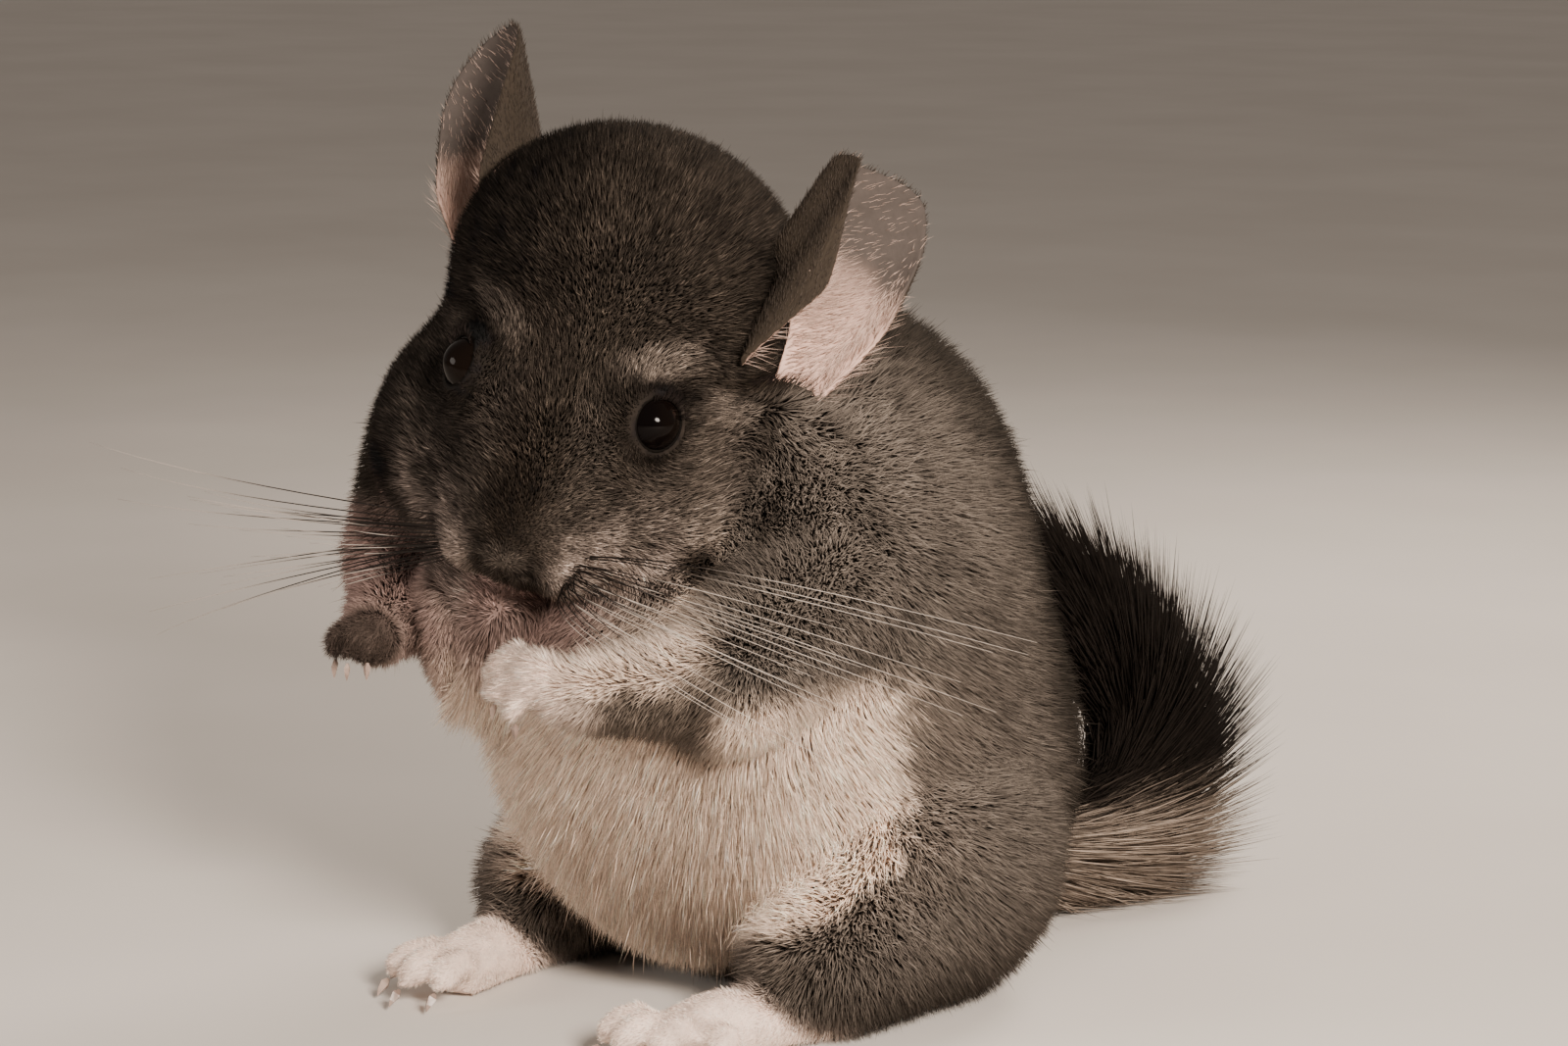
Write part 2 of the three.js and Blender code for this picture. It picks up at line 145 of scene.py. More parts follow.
def wave(p, scale, seed):  # soft repeatable noise between -1 and 1
    r = np.random.default_rng(seed)
    total = np.zeros(len(p))
    for turn in range(6):
        way = r.normal(size=3)
        way /= np.linalg.norm(way) * scale * r.uniform(0.7, 1.5)
        total += np.sin(p @ way * 6.28 + r.uniform(0, 6.28))
    return total / 3.2


# the regions of the body, with how the coat grows on each
arms = {
    "left": {"shoulder": (31, -9, 84), "elbow": (37, -41, 71), "wrist": (23, -65.5, 70), "grip": (17, -70, 72.5)},
    "right": {
        "shoulder": (-46, -32, 102), "elbow": (-49, -42, 82), "wrist": (-35.5, -62, 73), "grip": (-32.5, -66.5, 73),
    },
}
armRadii = {"upper": (19.5, 14.5), "lower": (12, 7)}
tailPoints = [(2, 50, 18), (6, 74, 12), (8, 94, 13), (7, 107, 24), (4, 109, 37), (0, 103, 50), (-4, 93, 60)]
coats = {  # depth and width in mm, lift in degrees, spikes per square mm
    "torso": {"depth": 6.0, "lift": 66, "width": 0.46, "density": 4.3, "clump": 2.2, "gather": 0.16},
    "head": {"depth": 3.0, "lift": 58, "width": 0.37, "density": 6.8, "clump": 1.7, "gather": 0.16},
    "muzzle": {"depth": 1.1, "lift": 38, "width": 0.27, "density": 10.0, "clump": 1.2, "gather": 0.2},
    "arm": {"depth": 4.0, "lift": 58, "width": 0.42, "density": 5.0, "clump": 2.0, "gather": 0.16},
    "paw": {"depth": 0.8, "lift": 20, "width": 0.19, "density": 9.0, "clump": 1.0, "gather": 0.3},
    "thigh": {"depth": 5.5, "lift": 66, "width": 0.46, "density": 4.3, "clump": 2.2, "gather": 0.16},
    "foot": {"depth": 0.45, "lift": 20, "width": 0.24, "density": 6.0, "clump": 1.0, "gather": 0.2},
    "tail": {"depth": 1.0, "lift": 30, "width": 0.5, "density": 2.0, "clump": 3.0, "gather": 0.3},
}
regionNames = list(coats)
regionAt = {name: i for i, name in enumerate(regionNames)}


def tailSpine(steps=60):
    points = [Vector(p) for p in tailPoints]
    line = []
    for i in range(len(points) - 1):
        a = points[max(i - 1, 0)]
        b, c = points[i], points[i + 1]
        d = points[min(i + 2, len(points) - 1)]
        for n in range(steps // 6):
            t = n / (steps // 6)
            line.append(0.5 * (
                (2 * b) + (c - a) * t + (2 * a - 5 * b + 4 * c - d) * t * t + (3 * b - a - 3 * c + d) * t ** 3
            ))
    line.append(points[-1])
    return np.array([tuple(p) for p in line])


spine = tailSpine()
spineWay = unit(np.gradient(spine, axis=0))


def nearestSpine(p):
    gaps = np.linalg.norm(p[:, None, :] - spine[None, ::2, :], axis=2)
    index = gaps.argmin(axis=1)
    return gaps.min(axis=1), index * 2


def armGaps(p, arm):  # distances to the upper arm and to the forearm
    upper = boneDistance(p, arm["shoulder"], arm["elbow"], *armRadii["upper"])
    return upper, boneDistance(p, arm["elbow"], arm["wrist"], *armRadii["lower"])


def regionShares(p):  # how much of each region a point belongs to
    q = toHead(p)
    headGap = np.minimum.reduce([
        lumpDistance(q, (0, 61, 12), (34, 30, 31)),
        lumpDistance(q, (21.5, 38, -11), (18.5, 26, 19)),
        lumpDistance(q, (-21.5, 38, -11), (18.5, 26, 19)),
        lumpDistance(q, (0, 31, 6.5), (21, 22, 19.5)),
        lumpDistance(q, (26, 42, -15), (16, 20, 17)),
        lumpDistance(q, (-26, 42, -15), (16, 20, 17)),
    ])
    muzzleGap = boneDistance(q, (0, 3, -1), (0, 16, -1), 9, 14)
    gaps = {
        "torso": np.minimum.reduce([
            lumpDistance(p, (0, 8, 50), (49, 55, 50)),
            lumpDistance(p, (0, 34, 38), (44, 34, 38)),
            lumpDistance(p, (0, 6, 84), (52, 46, 42)),
            lumpDistance(p, (0, 13, 102), (37, 33, 31)),
            lumpDistance(p, (0, -24, 65), (34, 24, 30)),
        ]),
        "head": headGap,
        "muzzle": muzzleGap,
        "arm": np.minimum.reduce([gap for a in arms.values() for gap in armGaps(p, a)]),
        "paw": np.minimum.reduce([
            boneDistance(p, a["wrist"], np.add(a["grip"], (0, -3, -2)), 6, 9) for a in arms.values()
        ]),
        "thigh": np.minimum.reduce([
            lumpDistance(p, (s * 37, y, z), radii)
            for s in (1, -1)
            for y, z, radii in ((12, 28, (20, 33, 29)), (-14, 15, (17, 20, 15.5)))
        ]),
        "foot": np.minimum.reduce([boneDistance(p, (s * 39, -20, 4), (s * 32, -58, 5), 6, 9) for s in (1, -1)]),
        "tail": nearestSpine(p)[0] - 7.5,
    }
    table = np.stack([gaps[name] for name in regionNames], axis=1)
    weights = np.exp(-np.clip(table - table.min(axis=1, keepdims=True), 0, 40) / 1.6)
    return weights / weights.sum(axis=1, keepdims=True)


def growthAt(shares, key):
    return shares @ np.array([coat[key] for coat in coats.values()])


sides = {"left": 1, "right": -1}
eyes = {side: fromHead((sign * head["eye"][0], *head["eye"][1:])) for side, sign in sides.items()}
eyeWays = {
    side: unit(headTurn @ np.array([sign * head["eyeWay"][0], *head["eyeWay"][1:]])) for side, sign in sides.items()
}


def eyeGap(p):  # distance to the nearer eyeball's surface
    return np.minimum.reduce([np.linalg.norm(p - c, axis=1) for c in eyes.values()]) - head["eyeRadius"]


def nostrilGap(q):  # distance to the middle of the nearer nostril, on head points
    return np.linalg.norm(np.stack([(np.abs(q[:, 0]) - 3.2) * 0.8, q[:, 1] - 1.2, q[:, 2] + 2.0], axis=1), axis=1)


def towards(a, b):  # unit vector from one place to another
    return unit(np.subtract(b, a).astype(float))


def lieAt(p, n, shares):  # the way the fur lies, along the surface
    ways = np.zeros((len(p), len(regionNames), 3))
    q = toHead(p)
    headWay = np.stack([q[:, 0] * 0.012, np.ones(len(p)), np.where(q[:, 2] < 0, -0.25, 0.05)], axis=1)
    for side, centre in eyes.items():
        away = q - toHead(centre)
        close = np.exp(-np.maximum(np.linalg.norm(away, axis=1) - head["eyeRadius"], 0) / 3.5)
        headWay += unit(away) * close[:, None] * 1.4
    ways[:, regionAt["head"]] = headWay @ headTurn.T
    muzzleWay = np.stack([q[:, 0] * 0.09, np.ones(len(p)) * 0.9, q[:, 2] * 0.02], axis=1)
    ways[:, regionAt["muzzle"]] = muzzleWay @ headTurn.T
    back = smoothStep(-48, -5, p[:, 1]) * 0.9 - 0.45
    ways[:, regionAt["torso"]] = np.stack([p[:, 0] * 0.004, back, np.full(len(p), -1.0)], axis=1)
    back = smoothStep(-18, 22, p[:, 1]) * 1.1 - 0.65
    ways[:, regionAt["thigh"]] = np.stack([p[:, 0] * 0.002, back, np.full(len(p), -0.8)], axis=1)
    ways[:, regionAt["foot"]] = (0.0, -1.0, -0.15)
    for side, a in arms.items():
        upper, lower = armGaps(p, a)
        mine = (p[:, 0] > -8) if side == "left" else (p[:, 0] <= -8)
        share = smoothStep(-4, 4, upper - lower)[:, None]
        way = towards(a["shoulder"], a["elbow"]) * (1 - share) + towards(a["elbow"], a["wrist"]) * share
        ways[mine, regionAt["arm"]] = (way + np.array([0, 0, -0.35]))[mine]
        ways[mine, regionAt["paw"]] = towards(a["wrist"], a["grip"]) + np.array([0, -0.2, -0.4])
    ways[:, regionAt["tail"]] = spineWay[nearestSpine(p)[1]]
    way = np.einsum("ij,ijk->ik", shares, ways)
    way -= n * np.einsum("ij,ij->i", way, n)[:, None]
    return unit(way)


# markings, shared by the skin and the coat
tones = {  # linear colours
    # back: the back's own dark fur, also laid on as painted shade near the floor, under the near forearm and on the
    # far shoulder
    "back": (0.030, 0.0245, 0.0195),
    "flank": (0.150, 0.126, 0.107),
    "flankLow": (0.215, 0.175, 0.146),
    "belly": (0.900, 0.720, 0.590),
    # throat: pale fur in painted shade, laid on the throat, under the chin and on the far arm
    "throat": (0.330, 0.225, 0.200),
    "headTop": (0.031, 0.0245, 0.0195),
    "cheek": (0.058, 0.047, 0.039),
    "cheekPale": (0.235, 0.192, 0.162),
    "noseTop": (0.014, 0.010, 0.007),
    "muzzle": (0.500, 0.400, 0.345),
    "lip": (0.060, 0.036, 0.030),
    "paw": (0.900, 0.720, 0.620),
    "pawShade": (0.075, 0.056, 0.047),
    "tailDark": (0.011, 0.0085, 0.007),
    "tailLight": (0.300, 0.240, 0.195),
}
faceMarks = [  # tone, place on faceMap, half sizes, turn in degrees, strength
    ("cheekPale", (28.6, -36.4), (7.6, 3.4), -16, 0.5),
    ("cheek", (16.5, -22.0), (4.2, 8.0), 0, 0.8),
    ("cheek", (22.5, -4.5), (4.5, 3.6), 0, 0.8),
    ("noseTop", (48.5, -32.8), (11.0, 2.6), 0, 1.0),
    ("cheekPale", (38.0, -28.8), (5.0, 3.0), 20, 0.4),
    ("noseTop", (46.5, -25.0), (2.2, 7.0), 12, 0.65),
    ("cheek", (41.5, -16.0), (5.2, 11.0), 8, 0.85),
    ("cheekPale", (35.0, -9.2), (7.0, 3.0), -32, 0.25),
    # painted shade: a dark spot at the near cheek's lower edge
    ("noseTop", (36.4, 0.6), (7.4, 3.6), 12, 0.95),
    ("noseTop", (48.6, -7.6), (2.8, 7.0), 8, 0.7),
    # painted shade in the crease running down from the eye's front corner
    ("noseTop", (20.9, -17.0), (1.2, 6.0), 0, 0.4),
    ("tailDark", (30.2, -30.8), (5.6, 2.1), 8, 1.0),
]


def blendTone(base, tone, amount):
    return base + (np.array(tones[tone]) - base) * np.clip(amount, 0, 1)[:, None]


def markings(p, n, shares):
    name = {key: shares[:, i] for i, key in enumerate(regionNames)}
    q = toHead(p)
    colour = np.tile(np.array(tones["flank"]), (len(p), 1))
    drift = wave(p, 30, 5) * 3
    broad = np.abs(p[:, 0])
    # the back darkens towards its midline and over the shoulders: partly its own darker fur, partly painted shade
    rear = smoothStep(18, 50, p[:, 1] + (44 - broad) * 0.9 + (p[:, 2] - 70) * 0.28 + drift)
    colour = blendTone(colour, "back", rear * 0.95)
    # arcs where the coat parts on the flank
    arc = np.sin((np.linalg.norm(p - np.array([10, -50, 110]), axis=1) + wave(p, 40, 8) * 7) * 0.42)
    colour = colour * (1 - 0.22 * smoothStep(0.45, 1.0, arc) * smoothStep(40, 70, p[:, 2]))[:, None]
    # cream belly with a spiky grey edge, paler grey just behind it
    edge = broad + p[:, 1] - np.minimum(40, 2.3 * p[:, 2] - 36) + drift + wave(p, 4, 6) * 3.6
    low = smoothStep(74, 64, p[:, 2])
    colour = blendTone(colour, "flankLow", smoothStep(30, 4, edge) * low * 0.6)
    # painted shade low down, where the body meets the floor behind the belly's edge
    colour = blendTone(colour, "back", smoothStep(24, 4, p[:, 2]) * smoothStep(-2, 8, edge) * 0.6)
    colour = blendTone(colour, "belly", smoothStep(5, -6, edge) * low)
    front = smoothStep(-2, -14, broad + p[:, 1] + drift)
    colour = blendTone(colour, "belly", front * smoothStep(60, 66, p[:, 2]) * 0.62)
    # painted shade on the throat under the head
    neck = front * smoothStep(66, 78, p[:, 2] - p[:, 0] * 0.1) * smoothStep(18, 3, p[:, 0])
    colour = blendTone(colour, "throat", neck * 0.95)
    # arms: pale in front; painted shade along the underside of the near forearm, and painted shade over the far arm,
    # mauve below and dark on its shoulder's top
    arm = name["arm"]
    inner = smoothStep(2, -14, broad + p[:, 1] + 6)
    colour = blendTone(colour, "belly", arm * inner * 0.3)
    under = smoothStep(0.5, -0.2, n[:, 2] + wave(p, 6, 21) * 0.12)
    under = under * smoothStep(0, -10, p[:, 0] + p[:, 1]) * (p[:, 0] > 8)
    colour = blendTone(colour, "back", arm * under * 0.85)
    far = (p[:, 0] < -20) * arm
    colour = blendTone(colour, "throat", far * smoothStep(98, 90, p[:, 2]))
    colour = blendTone(colour, "back", far * smoothStep(92, 99, p[:, 2]))
    colour = blendTone(colour, "paw", np.maximum(name["paw"] * (p[:, 0] > -8), name["foot"]))
    # painted shade: the far forepaw is darkened
    colour = blendTone(colour, "pawShade", name["paw"] * (p[:, 0] <= -26))
    # head
    onHead = np.clip(name["head"] + name["muzzle"], 0, 1)
    top = smoothStep(4, 24, q[:, 2] + (q[:, 1] - 30) * 0.1 + wave(p, 26, 3) * 3)
    headTone = blendTone(np.array(tones["cheek"]), "headTop", top)
    colour = colour + (headTone - colour) * onHead[:, None]
    # painted shade under the chin
    chin = smoothStep(-11, -15, q[:, 2] + (q[:, 1] - 30) * 0.05)
    colour = blendTone(colour, "throat", chin * onHead * smoothStep(40, 28, q[:, 1]))
    lip = smoothStep(2.0, 0.8, np.abs(q[:, 2] + 12.4 - 0.006 * q[:, 0] ** 2)) * smoothStep(16, 10, q[:, 1])
    colour = blendTone(colour, "lip", lip * onHead * 0.8)
    side = smoothStep(5, 11, np.abs(q[:, 0])) * smoothStep(8, -2, q[:, 2] + wave(p, 4, 18))
    side = side * smoothStep(22, 12, q[:, 1])
    colour = blendTone(colour, "muzzle", onHead * side * 0.65)
    face = faceMap(q)
    # painted shade: a dark band along the jaw line, under the near cheek
    jaw = smoothStep(4.5, 1.0, np.abs(face[:, 1] - 1.2 + 0.42 * (face[:, 0] - 34) + wave(p, 5, 22) * 0.8))
    colour = blendTone(colour, "headTop", onHead * jaw * smoothStep(20, 27, face[:, 0]) * 0.85)
    bridge = smoothStep(10, 2, np.abs(q[:, 0]) + wave(p, 4, 19)) * smoothStep(26, 6, q[:, 1])
    bridge = bridge * smoothStep(-0.5, 5, q[:, 1] + q[:, 2] * 0.5)
    colour = blendTone(colour, "noseTop", onHead * bridge * 0.9)
    near = smoothStep(78, 66, np.linalg.norm(q - np.array([0, 38, 0]), axis=1)) * (1 - name["paw"])
    for tone, place, size, turn, strength in faceMarks:
        a = math.radians(turn)
        off = face - np.array(place)
        u = (off[:, 0] * math.cos(a) + off[:, 1] * math.sin(a)) / size[0]
        v = (off[:, 1] * math.cos(a) - off[:, 0] * math.sin(a)) / size[1]
        patch = smoothStep(1.5, 0.3, np.hypot(u, v) + wave(p, 4, 17) * 0.12)
        colour = blendTone(colour, tone, patch * near * strength)
    for centre in eyes.values():
        rim = np.linalg.norm(p - centre, axis=1) - head["eyeRadius"]
        colour = blendTone(colour, "tailDark", smoothStep(1.5, 0.5, rim))
    # painted shade over the head's far side
    colour = colour * (1 - 0.5 * onHead * smoothStep(-4, -16, q[:, 0]))[:, None]  # the right cheek is darker
    # painted shade inside the nostrils
    colour = colour * (1 - 0.85 * smoothStep(2.0, 1.0, nostrilGap(q)))[:, None]
    # tail: dark above and below, lighter along its sides
    sideways = np.abs(unit(p - spine[nearestSpine(p)[1]])[:, 0])
    tailTone = blendTone(np.array(tones["tailDark"]), "tailLight", smoothStep(0.35, 0.8, sideways))
    colour = colour + (tailTone - colour) * name["tail"][:, None]
    dapple = wave(p, 7, 14) + wave(p, 3.2, 15)  # short dark streaks over the crown and face
    grain = 1 + 0.07 * wave(p, 9, 12) + 0.07 * wave(p, 4.5, 13) + 0.2 * dapple * onHead
    return np.clip(colour * grain[:, None], 0.008, 1)


# meshes and materials
def linkMesh(name, mesh):
    piece = bpy.data.objects.new(name, mesh)
    bpy.context.scene.collection.objects.link(piece)
    return piece


def fromBmesh(name, bm, smooth=True):
    mesh = bpy.data.meshes.new(name)
    bm.to_mesh(mesh)
    bm.free()
    if smooth:
        mesh.shade_smooth()
    return linkMesh(name, mesh)


def evaluated(piece, name):  # the piece with its modifiers applied, as a new object
    graph = bpy.context.evaluated_depsgraph_get()
    mesh = bpy.data.meshes.new_from_object(piece.evaluated_get(graph))
    bpy.data.objects.remove(piece)
    mesh.name = name
    return linkMesh(name, mesh)


def readPoints(mesh):
    co = np.empty(len(mesh.vertices) * 3, np.float32)
    mesh.vertices.foreach_get("co", co)
    normal = np.empty(len(mesh.vertices) * 3, np.float32)
    mesh.vertices.foreach_get("normal", normal)
    return co.reshape(-1, 3).astype(float), normal.reshape(-1, 3).astype(float)


def writePoints(mesh, points):
    mesh.vertices.foreach_set("co", np.asarray(points, np.float32).ravel())
    mesh.update()


def paint(mesh, name, colours):
    layer = mesh.attributes.new(name, "FLOAT_COLOR", "POINT")
    full = np.ones((len(colours), 4), np.float32)
    full[:, :3] = colours
    layer.data.foreach_set("color", full.ravel())


# a finely speckled material, coloured by an attribute of the mesh or by a blotch between two colours
def grained(name, roughness, specular, scale, strength, bump, attribute=None, colours=None):
    material = bpy.data.materials.new(name)
    material.use_nodes = True
    parts, links = material.node_tree.nodes, material.node_tree.links
    shader = parts["Principled BSDF"]
    shader.inputs["Roughness"].default_value = roughness
    shader.inputs["Specular IOR Level"].default_value = specular
    place = parts.new("ShaderNodeTexCoord")
    speck = parts.new("ShaderNodeTexNoise")
    speck.inputs["Scale"].default_value = scale
    speck.inputs["Detail"].default_value = 3
    links.new(place.outputs["Object"], speck.inputs["Vector"])
    ramp = parts.new("ShaderNodeMapRange")
    ramp.inputs["To Min"].default_value = 1 - strength
    ramp.inputs["To Max"].default_value = 1 + strength
    links.new(speck.outputs["Fac"], ramp.inputs["Value"])
    if attribute:
        source = parts.new("ShaderNodeAttribute")
        source.attribute_name = attribute
        base = source.outputs["Color"]
    else:
        blotch = parts.new("ShaderNodeTexNoise")
        blotch.inputs["Scale"].default_value = scale * 0.22
        links.new(place.outputs["Object"], blotch.inputs["Vector"])
        band = parts.new("ShaderNodeValToRGB")
        band.color_ramp.elements[0].position = 0.35
        band.color_ramp.elements[1].position = 0.68
        band.color_ramp.elements[0].color = (*colours[0], 1)
        band.color_ramp.elements[1].color = (*colours[1], 1)
        links.new(blotch.outputs["Fac"], band.inputs["Fac"])
        base = band.outputs["Color"]
    lit = parts.new("ShaderNodeVectorMath")
    lit.operation = "SCALE"
    links.new(base, lit.inputs[0])
    links.new(ramp.outputs["Result"], lit.inputs["Scale"])
    links.new(lit.outputs["Vector"], shader.inputs["Base Color"])
    if bump:
        relief = parts.new("ShaderNodeBump")
        relief.inputs["Strength"].default_value = bump
        relief.inputs["Distance"].default_value = 0.4 * mm
        links.new(speck.outputs["Fac"], relief.inputs["Height"])
        links.new(relief.outputs["Normal"], shader.inputs["Normal"])
    return material


coatMaterial = grained("chinchilla_coat", 0.8, 0.05, 1500, 0.2, 0, attribute="coatColour")
skinMaterial = grained("chinchilla_skin", 0.8, 0.08, 900, 0.2, 0.5, attribute="coatColour")
earMaterial = grained("ear_skin", 0.8, 0.1, 700, 0.2, 0.4, attribute="coatColour")
lidColours = ((0.002, 0.0015, 0.0012), (0.005, 0.004, 0.003))
lidMaterial = grained("lid_skin", 0.7, 0.05, 1200, 0.2, 0.3, colours=lidColours)
eyeColours = ((0.0015, 0.001, 0.001), (0.005, 0.003, 0.002))
eyeMaterial = grained("eye_glaze", 0.07, 0.07, 300, 0.1, 0, colours=eyeColours)
clawColours = ((0.16, 0.11, 0.09), (0.33, 0.25, 0.21))
clawMaterial = grained("claw_horn", 0.35, 0.4, 900, 0.2, 0.2, colours=clawColours)
whiskerMaterial = grained("whisker_hair", 0.5, 0.15, 1200, 0.1, 0, attribute="coatColour")
report("materials")


# the skin: one closed surface under the coat
ears = {
    "left": {
        "root": (21.2, -10.8, 132.4), "tip": (32.6, 8, 162.2), "open": (0.95, -0.1, -0.26), "girth": 13.4,
        "nudge": (1.6, -3.2, 0.2), "billow": (-7.0, -7.0, -1.6), "fuzzSlant": 0.9,
    },
    "right": {
        "root": (-31.4, -21.2, 147.7), "tip": (-41.4, -22, 184.4), "open": (-0.27, -0.96, -0.09), "girth": 14.4,
        "nudge": (-0.5, -0.5, 0.0), "billow": (0, 0, 0), "fuzzSlant": -0.4,
    },
}
skinPlan = {
    "flesh": [
        "torso", "neck", "head", "nose",
        "left_upper_arm", "left_forearm", "left_forepaw", "left_thigh", "left_hind_foot",
        "right_upper_arm", "right_forearm", "right_forepaw", "right_thigh", "right_hind_foot",
    ],
    "voxel": 1.1,
    "swell": 0.35,
    "smoothing": 5,
    "eyeDepth": 0.3,
    "eyeGap": 0.35,
    "inset": 0.82,
    "earPress": 2.4,
}


def makeSkin():
    bm = bmesh.new()
    for name in skinPlan["flesh"]:
        copy = bmesh.new()
        copy.from_mesh(nodes[name].data)
        bmesh.ops.remove_doubles(copy, verts=copy.verts, dist=2e-5)
        copy.normal_update()
        for vert in copy.verts:
            vert.co += vert.normal * skinPlan["swell"] * mm
        temp = bpy.data.meshes.new("temp")
        copy.to_mesh(temp)
        copy.free()
        bm.from_mesh(temp)
        bpy.data.meshes.remove(temp)

    def ball(centre, radii, turn=Matrix.Identity(4)):
        size = Matrix.Diagonal((*(r * mm for r in radii), 1))
        place = Matrix.Translation(Vector(toWorld(centre)))
        bmesh.ops.create_icosphere(bm, subdivisions=3, radius=1, matrix=place @ turn @ size)

    headMatrix = Matrix(headTurn.tolist()).to_4x4()
    ball((-19, -47, 76), (17, 15, 22))  # throat ruff
    for sign in (1, -1):
        ball(fromHead((sign * 26, 42, -15)), (16, 20, 17), headMatrix)  # cheek
        tilt = Matrix.Rotation(math.radians(-16 * sign), 4, "Z")
        ball(fromHead((sign * 8.8, 10, -4.6)), (8.4, 9.4, 7.8), headMatrix @ tilt)
        ball(fromHead((sign * head["eye"][0], *head["eye"][1:])), (5.9, 5.9, 5.9))
    for i, point in enumerate(spine[::2]):
        radius = 8.5 - 3.5 * i / (len(spine) / 2)
        ball(point, (radius,) * 3)
    raw = fromBmesh("skin_raw", bm)
    remesh = raw.modifiers.new("remesh", "REMESH")
    remesh.mode = "VOXEL"
    remesh.voxel_size = skinPlan["voxel"] * mm
    smooth = raw.modifiers.new("smooth", "SMOOTH")
    smooth.factor = 0.5
    smooth.iterations = skinPlan["smoothing"]
    skin = evaluated(raw, "skin")
    bm = bmesh.new()
    bm.from_mesh(skin.data)
    keepLargest(bm)
    tip = Vector(toWorld(fromHead((0, 5, -2))))
    fine = [edge for edge in bm.edges if (edge.verts[0].co - tip).length < 11 * mm]
    bmesh.ops.subdivide_edges(bm, edges=fine, cuts=1, use_grid_fill=True)
    bm.normal_update()
    bm.to_mesh(skin.data)
    bm.free()
    skin.data.shade_smooth()
    points, normals = readPoints(skin.data)
    p = fromWorld(points)
    shares = regionShares(p)
    depth = growthAt(shares, "depth") * skinPlan["inset"]
    near = eyeGap(p)
    depth = depth + (skinPlan["eyeDepth"] - depth) * smoothStep(9, 1.5, near)
    p = p - normals * depth[:, None]
    for side, centre in eyes.items():  # wrap the eyeball, and open the lids in front of it
        off = p - centre
        reach = np.linalg.norm(off, axis=1)
        ahead = (off / np.maximum(reach, 1e-6)[:, None]) @ eyeWays[side]
        close = reach < head["eyeRadius"] + 3
        wrapped = np.maximum(reach, head["eyeRadius"] + skinPlan["eyeGap"])
        opened = smoothStep(0.48, 0.60, ahead)
        target = wrapped * (1 - opened) + head["eyeRadius"] * 0.8 * opened
        p[close] = centre + off[close] * (target / np.maximum(reach, 1e-6))[close, None]
    q = toHead(p)
    x = np.abs(q[:, 0])
    lip = np.hypot(q[:, 2] + 12.4 - 0.006 * x * x, np.maximum(x - 9, 0)) + np.maximum(q[:, 1] - 14, 0)
    cleft = np.hypot(q[:, 0], np.maximum(np.abs(q[:, 2] + 6) - 4, 0)) + np.maximum(q[:, 1] - 9, 0)
    press = 1.3 * smoothStep(1.6, 0.2, lip) + 1.1 * smoothStep(1.5, 0.2, cleft)
    press = press + 1.7 * smoothStep(1.9, 0.5, nostrilGap(q))
    for plan in ears.values():
        gap = np.linalg.norm(p - np.array(plan["root"], float), axis=1)
        press = press + skinPlan["earPress"] * smoothStep(19, 9, gap)
    p = p - normals * press[:, None]
    p[:, 2] = np.maximum(p[:, 2], 0.9 - shift[2])
    writePoints(skin.data, toWorld(p))
    return skin


def keepLargest(bm):  # drops all but the largest island
    left = set(bm.verts)
    islands = []
    while left:
        seed = left.pop()
        island, edge = [seed], [seed]
        while edge:
            grown = []
            for vert in edge:
                for link in vert.link_edges:
                    other = link.other_vert(vert)
                    if other in left:
                        left.discard(other)
                        grown.append(other)
            island += grown
            edge = grown
        islands.append(island)
    islands.sort(key=len)
    for island in islands[:-1]:
        bmesh.ops.delete(bm, geom=island, context="VERTS")


def unwrap(piece):
    bpy.ops.object.select_all(action="DESELECT")
    piece.select_set(True)
    bpy.context.view_layer.objects.active = piece
    piece.data.uv_layers.new(name="OFBake")
    bpy.ops.object.mode_set(mode="EDIT")
    bpy.ops.mesh.select_all(action="SELECT")
    bpy.ops.uv.smart_project(angle_limit=math.radians(66), island_margin=0.003)
    bpy.ops.object.mode_set(mode="OBJECT")


addCamera()
skin = makeSkin()
report(f"skin {len(skin.data.vertices)} points")
unwrap(skin)
report("skin unwrapped")
skinPoints, skinNormals = readPoints(skin.data)
skinShares = regionShares(fromWorld(skinPoints))
paint(skin.data, "coatColour", markings(fromWorld(skinPoints), skinNormals, skinShares) * 0.75)
skin.data.materials.append(skinMaterial)
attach(skin, "root")
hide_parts(*skinPlan["flesh"])
report("skin painted")


# roots of the coat, spread over a mesh by area
def surfaceOf(piece):
    mesh = piece.data
    mesh.calc_loop_triangles()
    count = len(mesh.loop_triangles)
    corners = np.empty(count * 3, np.int32)
    mesh.loop_triangles.foreach_get("vertices", corners)
    loops = np.empty(count * 3, np.int32)
    mesh.loop_triangles.foreach_get("loops", loops)
    uv = np.zeros(len(mesh.loops) * 2, np.float32)
    if mesh.uv_layers:
        mesh.uv_layers["OFBake"].data.foreach_get("uv", uv)
    points, normals = readPoints(mesh)
    return {
        "points": fromWorld(points), "normals": normals, "corners": corners.reshape(-1, 3),
        "loops": loops.reshape(-1, 3), "uv": uv.reshape(-1, 2),
    }


